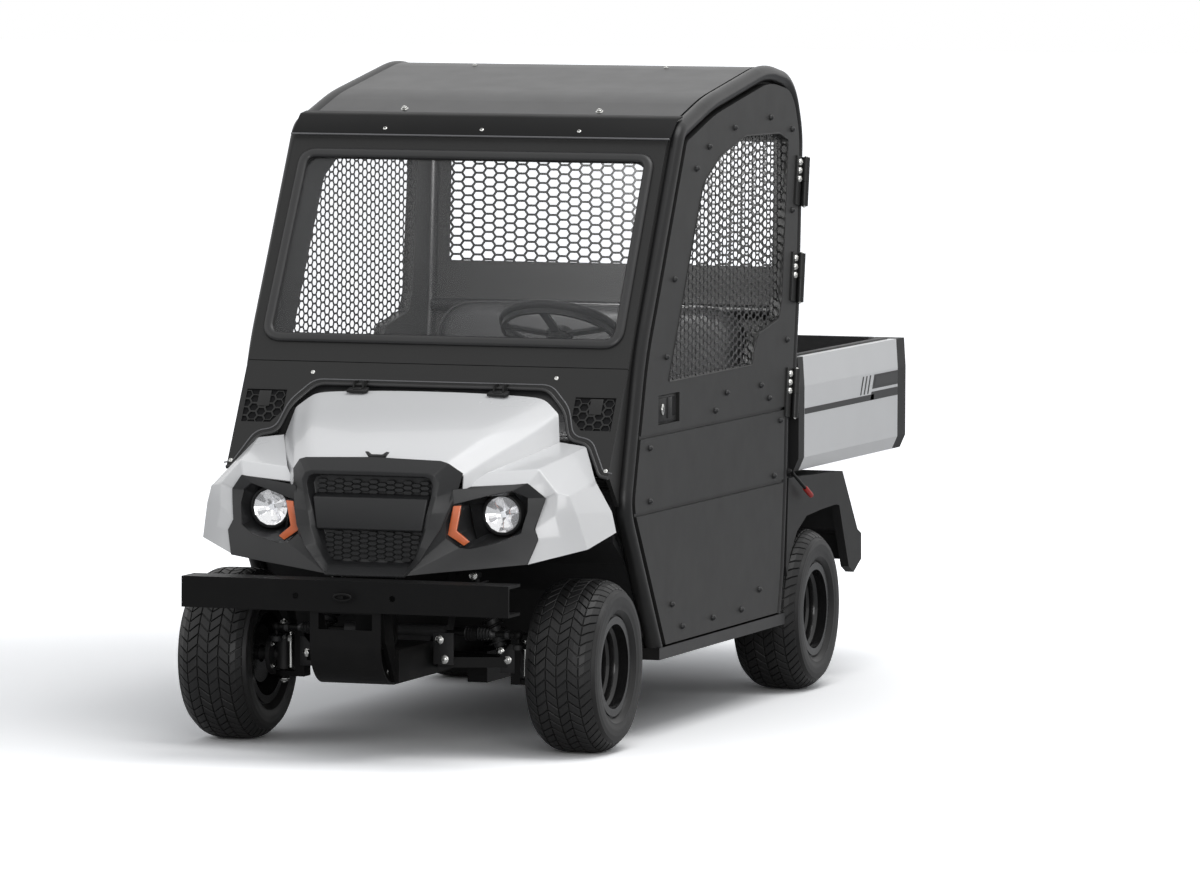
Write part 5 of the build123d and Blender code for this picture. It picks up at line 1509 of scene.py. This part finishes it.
@dataclass
class RunningGear(Builder):
    """Dampers, gaiters, bolts, tow loop, release lever and engine.

    Sizes in millimetres; the distances of bolts from the centre line in metres.
    """

    coil: float = 27.0
    wire: float = 4.6
    arm_bolt: float = 0.309
    adjuster: float = 0.362
    kingpin: float = 0.391
    drum: float = 0.427
    rack: Pair = (-110.0, 341.0)

    def damper(self, name: str, low: Vector, high: Vector,
               turns: float) -> list[tuple[Object, str]]:
        """One coil-over damper between two eyes.

        Args:
            name: Start of the pieces' names.
            low: Lower eye in metres.
            high: Upper eye in metres.
            turns: Turns of the spring.

        Returns:
            The pieces with their finishes.
        """
        axis = (high - low).normalized()
        long = (high - low).length / MM
        grid = pointing(low, axis)
        body = lathe("tube", [(0, 12), (17, 12), (19, 14), (19, long * 0.55), (17, long * 0.56),
                              (7, long * 0.57), (7, long - 12), (0, long - 12)], 24, grid)
        seats = [lathe("seat", [(0, h), (31, h), (32, h + 2), (32, h + 4), (0, h + 5)], 28, grid)
                 for h in (26, long - 30)]
        eyes = []
        for spot in (low, high):
            hub = plane(spot, RIGHT, (0, 1, 0))
            eyes.append(lathe("eye", [(5, -18), (13, -18), (14.6, -16), (14.6, 16), (13, 18),
                                      (5, 18), (5, -18)], 24, hub))
        coil = helix(low + axis * 0.033, high - axis * 0.033, self.coil, turns)
        spring = tube(f"{name}_spring", coil, self.wire)
        bolts = [Fastener.hexagon("bolt", 9, 7, [ahead(spot - Vector((0, 0.018, 0)))])
                 for spot in (low, high)]
        return [(weld(f"{name}_damper", [body, *seats, *eyes]), "cast_metal"),
                (spring, "chassis_paint"), (weld(f"{name}_damper_bolts", bolts), "zinc_plate")]

    def dampers(self) -> None:
        """The four coil-over dampers."""
        spots = []
        for side, word in SIDES:
            spots.append((f"front_{word}", "front_shock_absorbers",
                          Vector((side * 0.284, FRONT_AXLE, 0.2833)),
                          Vector((side * 0.200, FRONT_AXLE, 0.4997))))
            low, high = self.rear_eyes(side)
            spots.append((f"rear_{word}", "rear_shock_absorbers", low, high))
        for name, node, low, high in spots:
            for piece, finish in self.damper(name, low, high, 7):
                slot = "zinc" if finish == "zinc_plate" else "cast_grey"
                self.fit(piece, "chassis", finish, slot, node)

    @staticmethod
    def rear_eyes(side: int) -> tuple[Vector, Vector]:
        """Lower and upper eye of a rear damper, from the CAD node's box."""
        low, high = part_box("rear_shock_absorbers")
        eye = 0.0150
        mid = (low.y + high.y) / 2
        return (Vector((side * (high.x - 0.032), mid, low.z + eye)),
                Vector((side * (high.x - 0.032), mid, high.z - eye)))

    def bellows(self) -> None:
        """Ribbed rubber gaiters on the tie rods and their lock nuts."""
        for side, word in SIDES:
            grid = plane(fore(side * 212, *self.rack), UP, (side, 0, 0))
            profile: list[Pair] = [(8.2, 0), (20, 0.5)]
            for i in range(9):
                profile += [(21.5 - i * 0.6, 3 + i * 9), (15 - i * 0.4, 7.5 + i * 9)]
            profile += [(10, 86), (10, 91), (8.2, 91), (8.2, 0)]
            self.fit(lathe(f"{word}_rack_gaiter", profile, 28, grid), "tie_rods", "seal_rubber",
                     "seal_rubber")
            nut = lathe("nut", [(8.1, 0), (13, 0.5), (13, 13), (8.1, 13.5), (8.1, 0)], 6,
                        plane(fore(side * 332, *self.rack), UP, (side, 0, 0)))
            nut.name = f"{word}_tie_rod_lock_nut"
            self.fit(nut, "tie_rods", "cast_metal", "cast_grey")

    def front_bolts(self) -> None:
        """Bolts, their plates and the brake adjusters at the front axle."""
        fixed = []
        for side, _ in SIDES:
            fixed.append(ahead((side * self.arm_bolt, FRONT_AXLE - 0.028, 0.260)))
            for z in (0.253, 0.296):
                fixed.append(ahead((side * 0.096, FRONT_AXLE - 0.4202, z)))
        self.plated(Fastener.hexagon("front_frame_bolts", 9.0, 7.5, fixed))
        plates = []
        for side, _ in SIDES:
            grid = ahead((side * self.arm_bolt, FRONT_AXLE - 0.022, 0.260))
            ear = [(side * x, z) for x, z in ((-22, 12), (-22, -38), (22, -38), (22, 46), (6, 46))]
            plates.append(plate("ear", ear, 6, grid, 1.2))
        plates.append(block("rack_plate", (62, 92, 6), (155, 0, 0), 1.5,
                            ahead((0, FRONT_AXLE - 0.143, 0.298))))
        self.fit(weld("front_bolt_plates", plates), "chassis", "cast_metal", "cast_grey")
        rack = [ahead((x * MM, FRONT_AXLE - 0.146, z * MM)) for x, z in ((143, 323), (158, 267))]
        self.plated(Fastener.hexagon("rack_bolts", 9.5, 8, rack))
        for side, word in SIDES:
            foot = (side * self.adjuster, FRONT_AXLE - 0.020)
            rod = [tube("rod", [(*foot, z) for z in (0.215, 0.318)], 6.5),
                   lathe("collar", [(0, -9), (11, -9), (11, 9), (0, 9)], 6,
                         plane((*foot, 0.300), RIGHT, (0, 0, 1)))]
            self.plated(weld(f"{word}_brake_adjuster", rod), f"front_{word}_knuckle")
            pins = [plane((side * self.kingpin, FRONT_AXLE, z), RIGHT, (0, 0, s))
                    for z, s in ((0.342, 1), (0.180, -1))]
            self.plated(Fastener.hexagon(f"{word}_kingpin_nuts", 13, 9, pins))
            drum = [plane((side * self.drum, FRONT_AXLE + 0.047 * math.cos(a),
                           0.250 + 0.047 * math.sin(a)), (0, 1, 0),
                          (-side, 0, 0)) @ Matrix.Translation((0, 0, 0.0125))
                    for a in (0.7, 2.4, 3.9, 5.5)]
            self.plated(Fastener.hexagon(f"{word}_knuckle_bolts", 6.5, 5, drum),
                        f"front_{word}_knuckle")

    def bumper(self) -> None:
        """The tow loop on the bumper bar."""
        grid = ahead((0.004, FRONT_AXLE - 0.5585, 0.476))
        loop = [grid @ Vector((26 * MM * math.cos(a), 9 * MM * math.sin(a), 12 * MM))
                for a in (math.tau * i / 24 for i in range(24))]
        parts = [tube("loop", loop, 4.0, cyclic=True),
                 block("foot", (30, 22, 10), (-14, 0, 5), 2.0, grid)]
        self.fit(weld("bumper_tow_loop", parts), "chassis", "chassis_paint", "chassis_black")

    def lever(self) -> None:
        """The bed's release lever: a thin rod with a red grip on its end."""
        start = Vector((0.626, FRONT_AXLE + 1.690, 0.690))
        end = Vector((0.640, FRONT_AXLE + 1.846, 0.608))
        rod = [tube("rod", [start, start.lerp(end, 0.8)], 5.0),
               lathe("boss", [(0, 9), (10, 8), (13, 0), (0, 0)], 20,
                     plane((0.615, FRONT_AXLE + 1.690, 0.690), UP, RIGHT))]
        self.fit(weld("bed_release_rod", rod), "chassis", "chassis_paint", "lever_red",
                 "bed_release_lever")
        grip = lathe("bed_release_grip",
                     [(0, 0), (7, 0.5), (8.4, 4), (8.4, 52), (7.5, 58), (4, 61), (0, 62)], 20,
                     pointing(start.lerp(end, 0.66), end - start))
        self.fit(grip, "chassis", "red_grip_rubber", "lever_red", "bed_release_lever")

    def engine(self) -> None:
        """Cooling fins and a fan cover on the engine block."""
        low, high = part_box("engine_block")
        mid = (low + high) / 2
        fins = [block("fin", ((high.x - low.x) / MM + 10, (high.y - low.y) / MM - 60, 3),
                      (mid.x / MM, mid.y / MM, high.z / MM - 14 - 11 * i), 0.6) for i in range(5)]
        self.fit(weld("engine_fins", fins), "chassis", "cast_metal", "cast_grey")
        cover = lathe("engine_fan_cover", [(0, 16), (52, 15), (74, 10), (80, 4), (80, -1), (0, -1)],
                      40, plane((mid.x, high.y, mid.z - 0.02), RIGHT, (0, 1, 0)))
        self.fit(cover, "chassis", "chassis_paint", "chassis_black")

    def build(self) -> None:
        """Builds and paints the running gear."""
        self.dress("chassis_paint", "chassis_frame", "front_subframe", "front_bumper_bar",
                   "bumper_skid_plate", "front_suspension_arms")
        self.dress("cast_metal", "front_left_knuckle", "front_right_knuckle",
                   "steering_rack_housing", "rear_axle", "engine_block")
        self.dress("chassis_paint", "steering_tie_rods")
        self.dress("trim_plastic", "rear_mudguards")
        self.lever()
        self.dampers()
        self.bellows()
        self.front_bolts()
        self.bumper()
        self.engine()


# ---------------------------------------------------------------- cockpit
@dataclass
class Cockpit(Builder):
    """Seats, wheel, dash and pedals. Sizes in millimetres."""

    voxel: float = 9.0
    driver: float = 0.230

    def puff(self, piece: Object, cap: float, pressure: float = 4.0) -> Object:
        """Swells a closed form like a stuffed cushion.

        Args:
            piece: The cushion's closed start shape.
            cap: The furthest that a point may move, in millimetres.
            pressure: The cloth's inner pressure.

        Returns:
            The same object, swollen and smoothed.
        """
        apply_modifier(piece, "REMESH", mode="VOXEL", voxel_size=self.voxel * MM)
        start = [v.co.copy() for v in piece.data.vertices]
        activate(piece)
        cloth = piece.modifiers.new("swell", "CLOTH")
        cloth.settings.use_pressure = True
        cloth.settings.uniform_pressure_force = pressure
        cloth.settings.effector_weights.gravity = 0.0
        cloth.settings.quality = 5
        for step in range(1, 16):
            bpy.context.scene.frame_set(step)
        bpy.ops.object.modifier_apply(modifier=cloth.name)
        bpy.context.scene.frame_set(1)
        for vertex, rest in zip(piece.data.vertices, start):
            move = vertex.co - rest
            if move.length > cap * MM:
                vertex.co = rest + move.normalized() * cap * MM
        apply_modifier(piece, "SMOOTH", factor=0.5, iterations=3)
        piece.data.shade_smooth()
        return piece

    def cushion(self, name: str, body: str, centre: Triple, size: Triple, tilt: float,
                node: str) -> None:
        """One padded bench piece with a piped seam round its face.

        Args:
            name: The piece's name.
            body: The CAD body that it moves with.
            centre: Its centre in millimetres.
            size: Width, depth and thickness in millimetres.
            tilt: Turn about X in radians.
            node: The CAD node that it replaces.
        """
        grid = Matrix.Translation(Vector(centre) * MM) @ Matrix.Rotation(tilt, 4, "X")
        half_x, half_y = size[0] / 2, size[1] / 2
        upper = 130 if "back" in name else 70
        outline = arc_corners([(-half_x, -half_y), (half_x, -half_y), (half_x, half_y),
                               (-half_x, half_y)], (70, 70, upper, upper))
        start = grid @ raised(-size[2] / 2)
        pad = plate(name, outline, size[2], start, 22, 3)
        pad = self.puff(pad, 14)
        self.fit(pad, body, "grained_vinyl", "seat_vinyl", node)
        ring = [start @ Vector((x * 0.975 * MM, y * 0.95 * MM, (size[2] - 4) * MM))
                for x, y in outline]
        self.fit(tube(f"{name}_piping", ring, 3.4, cyclic=True, facets=1), body, "seal_rubber",
                 "seat_vinyl")

    def seats(self) -> None:
        """Bench cushion and back."""
        self.dress("trim_plastic", "seat_base")
        self.cushion("bench_cushion", "chassis", (0, (FRONT_AXLE + 1.295) * 1000, 771),
                     (1016, 412, 118), 0.0, "seat_cushion")
        self.cushion("bench_back", "chassis", (0, (FRONT_AXLE + 1.604) * 1000, 962),
                     (1016, 490, 76), 1.40, "seat_back")

    def dash(self) -> None:
        """Gauge and switches on the dashboard."""
        top = plane((self.driver, FRONT_AXLE + 0.405, 1.1085), RIGHT, (0, -0.05, 1))
        hood = lathe("gauge_housing", [(0, 16), (40, 15), (46, 10), (48, 0), (0, 0)], 36,
                     top @ raised(-2))
        dial = lathe("gauge_dial", [(0, 16.6), (36, 16.6), (38, 15.6), (38, 14)], 36,
                     top @ raised(-1.6))
        self.fit(hood, "chassis", "trim_plastic", "trim_black")
        self.fit(dial, "chassis", "gauge_white", "trim_black")
        row = []
        for i in range(4):
            row.append(block("switch", (26, 16, 8), (-60 - 44 * i, 0, 4), 2.0,
                             plane((0, FRONT_AXLE + 0.454, 1.074), RIGHT, (0, 0.83, 0.56))))
        self.fit(weld("dash_switches", row), "chassis", "trim_plastic", "trim_black")

    def pedals(self) -> None:
        """Two ribbed pedals on their arms."""
        parts = []
        for x, wide, tall in ((150, 70, 62), (290, 56, 120)):
            grid = plane((x * MM, FRONT_AXLE + 0.520, 0.400), RIGHT, (0, 0.8, 0.6))
            parts.append(block("pad", (wide, tall, 9), (0, 0, 0), 3, grid))
            parts += [block("rib", (wide - 10, 4, 3), (0, k * 12, 5.5), 0.8, grid)
                      for k in range(-int(tall / 28), int(tall / 28) + 1)]
            parts.append(tube("arm", [(x * MM, FRONT_AXLE + 0.516, 0.405),
                                      (x * MM, FRONT_AXLE + 0.470, 0.52),
                                      (x * MM, FRONT_AXLE + 0.430, 0.72)], 6))
        self.fit(weld("foot_pedals", parts), "chassis", "trim_plastic", "trim_black")

    def wheel_boss(self) -> None:
        """The boss of the steering wheel."""
        tilt = math.radians(27)
        normal = Vector((0, math.sin(tilt), math.cos(tilt)))
        grid = plane((self.driver, FRONT_AXLE + 0.660, 1.180), RIGHT, normal)
        boss = lathe("steering_boss", [(0, 2), (26, 0), (36, -5), (40, -14), (41, -24), (0, -24)],
                     40, grid)
        self.fit(boss, "steering_wheel", "trim_plastic", "trim_black")

    def build(self) -> None:
        """Builds and paints the cockpit."""
        self.dress("trim_plastic", "floor_pan", "steering_wheel", "steering_column")
        self.dress("fascia_plastic", "dashboard")
        self.seats()
        self.dash()
        self.pedals()
        self.wheel_boss()


# ---------------------------------------------------------------- cargo bed
@dataclass
class CargoBed(Builder):
    """Stripes, liner ribs, lamp bezels and gate fittings. Sizes in millimetres."""

    half: float = 612.0
    front: float = 655.0
    rear: float = 1653.0

    def film(self, side: int, outline: Sequence[Pair], lift: float = 0.15) -> Object:
        """A thin film on the bed's side, drawn as (Y, Z)."""
        thin = 0.35
        x = self.half + lift if side > 0 else -self.half - lift - thin
        grid = plane((x * MM, 0, 0), (0, 1, 0), (1, 0, 0))
        return plate("film", outline, thin, grid)

    def stripes(self, side: int, word: str) -> None:
        """A plain dark line that ends in a broad band behind three slanting bars."""
        dark = [self.film(side, [(self.front + 2, 858), (1392, 858), (1392, 876),
                                 (self.front + 2, 876)]),
                self.film(side, [(1352, 858), (self.rear - 2, 858), (self.rear - 2, 884),
                                 (1366, 884)]),
                self.film(side, [(1372, 893), (self.rear - 2, 893), (self.rear - 2, 937),
                                 (1396, 937)])]
        for k in range(3):
            y = 1242 + 38 * k
            dark.append(self.film(side, [(y, 880), (y + 13, 880), (y + 43, 937), (y + 30, 937)]))
        self.fit(weld(f"{word}_bed_stripes", dark), "cargo_bed", "stripe_film", "bed_silver")
        grey = self.film(side, [(1398, 903), (self.rear - 4, 903), (self.rear - 4, 929),
                                (1409, 929)], 0.6)
        grey.name = f"{word}_bed_stripe_core"
        self.fit(grey, "cargo_bed", "stripe_film_grey", "bed_silver")

    def liner(self) -> None:
        """Pressed ribs on the bed's floor and inner walls."""
        ribs = [block("rib", (44, 900, 7), (x, 1150, 744.5), 3.0) for x in range(-450, 451, 100)]
        self.fit(weld("bed_floor_ribs", ribs), "cargo_bed", "bed_liner_plastic", "bed_liner")
        walls = []
        for side in (1, -1):
            for y in range(700, 1600, 120):
                walls.append(block("post", (7, 40, 230), (side * 554.5, y, 880), 3.0))
        for x in range(-420, 421, 120):
            walls.append(block("post", (40, 7, 230), (x, 629.5, 880), 3.0))
        self.fit(weld("bed_wall_ribs", walls), "cargo_bed", "bed_liner_plastic", "bed_liner")
        rails = []
        for side in (1, -1):
            rails.append(block("rail", (24, 1030, 9), (side * 570, 1125, 1037), 3.0))
        self.fit(weld("bed_top_rails", rails), "cargo_bed", "trim_plastic", "trim_black")

    def lamps(self) -> None:
        """The bezels of the tail lamps."""
        for side, word in SIDES:
            grid = plane((side * 0.562, 1.7492, 0.850), (-1, 0, 0), (0, 1, 0))
            bezel = plate("bezel", [(-33, -68), (33, -68), (33, 68), (-33, 68)], 3.0,
                          grid @ raised(-6.5), 1.5)
            bezel.name = f"{word}_tail_bezel"
            self.fit(bezel, "cargo_bed", "trim_plastic", "red_lens")
        self.dress("red_lens", "tail_lamps")

    def gate(self) -> None:
        """Pressed panels and the handle on the tailgate."""
        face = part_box("tailgate")[1].y
        parts = []
        for x in (-336, 0, 336):
            grid = plane((x * MM, face, 0.890), (-1, 0, 0), (0, 1, 0))
            parts.append(block("panel", (300, 190, 4), (0, 0, 1.2), 3.0, grid))
        self.fit(weld("tailgate_pressings", parts), "tailgate", "trim_plastic", "trim_black")
        grid = plane((0, face, 0.985), (-1, 0, 0), (0, 1, 0))
        handle = [block("cup", (130, 46, 5.5), (0, 12, 2.0), 2.5, grid),
                  block("pull", (90, 14, 6.5), (0, 16, 2.4), 3, grid)]
        self.fit(weld("tailgate_handle", handle), "tailgate", "seal_rubber", "trim_black")

    def build(self) -> None:
        """Builds and paints the bed."""
        self.dress("bed_liner_plastic", "cargo_bed_tub")
        self.dress("bed_silver_paint", "cargo_bed_side_panels")
        self.dress("trim_plastic", "cargo_bed_end_caps", "tailgate")
        for side, word in SIDES:
            self.stripes(side, word)
        self.liner()
        self.lamps()
        self.gate()


# ---------------------------------------------------------------- studio
@dataclass
class Studio:
    """Floor, lamps and camera."""

    azimuth: float = 18.76
    elevation: float = 4.14
    roll: float = 0.24
    lens: float = 246.2
    stand: Triple = (8.128, -23.430, 2.580)
    dome: Pair = (0.26, 0.62)
    floor_gain_with_painted_shade: Pair = (1.22, 2.4)
    painted_shade_reach: Pair = (1.2, 4.4)
    painted_shade_centre: Triple = (-1.1, -0.1, 0.0)

    def world(self) -> None:
        """White to the camera and in reflections, a softer light elsewhere."""
        world = bpy.data.worlds.new("studio_world")
        bpy.context.scene.world = world
        world.use_nodes = True
        graph = Graph(world.node_tree)
        way = graph.node("ShaderNodeTexCoord", None, None, "Generated")
        height = graph.node("ShaderNodeSeparateXYZ", None, {0: way}, "Z")
        rise = graph.node("ShaderNodeMapRange", None, {"Value": height, "From Max": 0.8,
                                                       "To Min": self.dome[0],
                                                       "To Max": self.dome[1]})
        dim = graph.node("ShaderNodeBackground", None,
                         {"Color": (0.95, 0.97, 1.0), "Strength": rise})
        white = graph.node("ShaderNodeBackground", None, {"Color": (1.0, 1.0, 1.0)})
        seen = graph.seen("Is Camera Ray", "Is Glossy Ray", "Is Transmission Ray")
        output = graph.tree.nodes.new("ShaderNodeOutputWorld")
        graph.plug(output.inputs[0], graph.blend(seen, dim, white))

    def floor(self) -> None:
        """A pale floor that keeps the vehicle's shadow, with painted shade darker towards the
        vehicle and its left.
        """
        clear_selection()
        bpy.ops.mesh.primitive_plane_add(size=160, location=(0, 0, 0))
        ground = bpy.context.active_object
        ground.name = "studio_floor"
        graph = Surface("studio_floor")
        # Painted shade: the floor's colour for the camera grows darker towards a point left of the
        # vehicle.
        away = graph.node("ShaderNodeVectorMath", {"operation": "DISTANCE"},
                          {0: graph.place(), 1: self.painted_shade_centre}, "Value")
        tone = graph.node("ShaderNodeMapRange", {"interpolation_type": "SMOOTHSTEP"},
                          {"Value": away, "From Min": self.painted_shade_reach[0],
                           "From Max": self.painted_shade_reach[1],
                           "To Min": self.floor_gain_with_painted_shade[0], "To Max": self.floor_gain_with_painted_shade[1]}, 0)
        plain = graph.node("ShaderNodeBsdfDiffuse", None, {"Color": (0.6, 0.6, 0.6)})
        bright = graph.node("ShaderNodeBsdfDiffuse", None, {"Color": tone})
        seen = graph.seen("Is Camera Ray", "Is Transmission Ray")
        graph.plug(graph.output.inputs["Surface"], graph.blend(seen, plain, bright))
        ground.data.materials.append(graph.material)

    @staticmethod
    def lamp(name: str, at: Triple, aim: Triple, size: float, power: float) -> None:
        """One soft square lamp aimed at a point."""
        light = bpy.data.lights.new(name, "AREA")
        light.shape = "SQUARE"
        light.size = size
        light.energy = power
        holder = bpy.data.objects.new(name, light)
        holder.location = at
        holder.rotation_euler = (Vector(aim) - Vector(at)).to_track_quat("-Z", "Y").to_euler()
        holder.visible_camera = False
        bpy.context.scene.collection.objects.link(holder)

    def camera(self) -> None:
        """The camera, standing ahead of the vehicle on the driver's side."""
        azimuth, elevation = math.radians(self.azimuth), math.radians(self.elevation)
        view = Vector((-math.sin(azimuth) * math.cos(elevation),
                       math.cos(azimuth) * math.cos(elevation), -math.sin(elevation)))
        right = view.cross(UP).normalized()
        above = right.cross(view)
        roll = math.radians(self.roll)
        across = right * math.cos(roll) + above * math.sin(roll)
        rise = above * math.cos(roll) - right * math.sin(roll)
        data = bpy.data.cameras.new("camera")
        data.lens = self.lens
        data.sensor_width = 36
        data.clip_end = 300
        holder = bpy.data.objects.new("camera", data)
        grid = Matrix((across, rise, -view)).transposed().to_4x4()
        grid.translation = Vector(self.stand)
        holder.matrix_world = grid
        bpy.context.scene.collection.objects.link(holder)
        bpy.context.scene.camera = holder

    def build(self) -> None:
        """Sets the stage."""
        bpy.context.scene.view_settings.view_transform = "Standard"
        self.world()
        self.floor()
        self.lamp("overhead", (2.6, -0.6, 7.5), (0, -0.3, 0.5), 4.5, 195)
        self.lamp("front_key", (4.6, -9.6, 2.4), (0, -0.5, 0.7), 4.0, 205)
        self.lamp("side_fill", (-6.5, -6.0, 4.5), (0, -0.5, 0.9), 4.0, 30)
        self.lamp("cabin_fill", (0, -0.2, 1.72), (0, 0.35, 1.05), 0.45, 18)
        self.camera()


def main() -> None:
    """Builds every sub-assembly in order."""
    logging.basicConfig(level=logging.INFO, format="%(name)s %(message)s")
    clear_selection()
    paints = Paints()
    for assembly in (Wheels(paints), CabShell(paints), Doors(paints), FrontBody(paints),
                     RunningGear(paints), Cockpit(paints), CargoBed(paints)):
        LOG.info("%s", type(assembly).__name__)
        assembly.build()
    Studio().build()
    clear_selection()


if __name__ == "__main__":
    main()
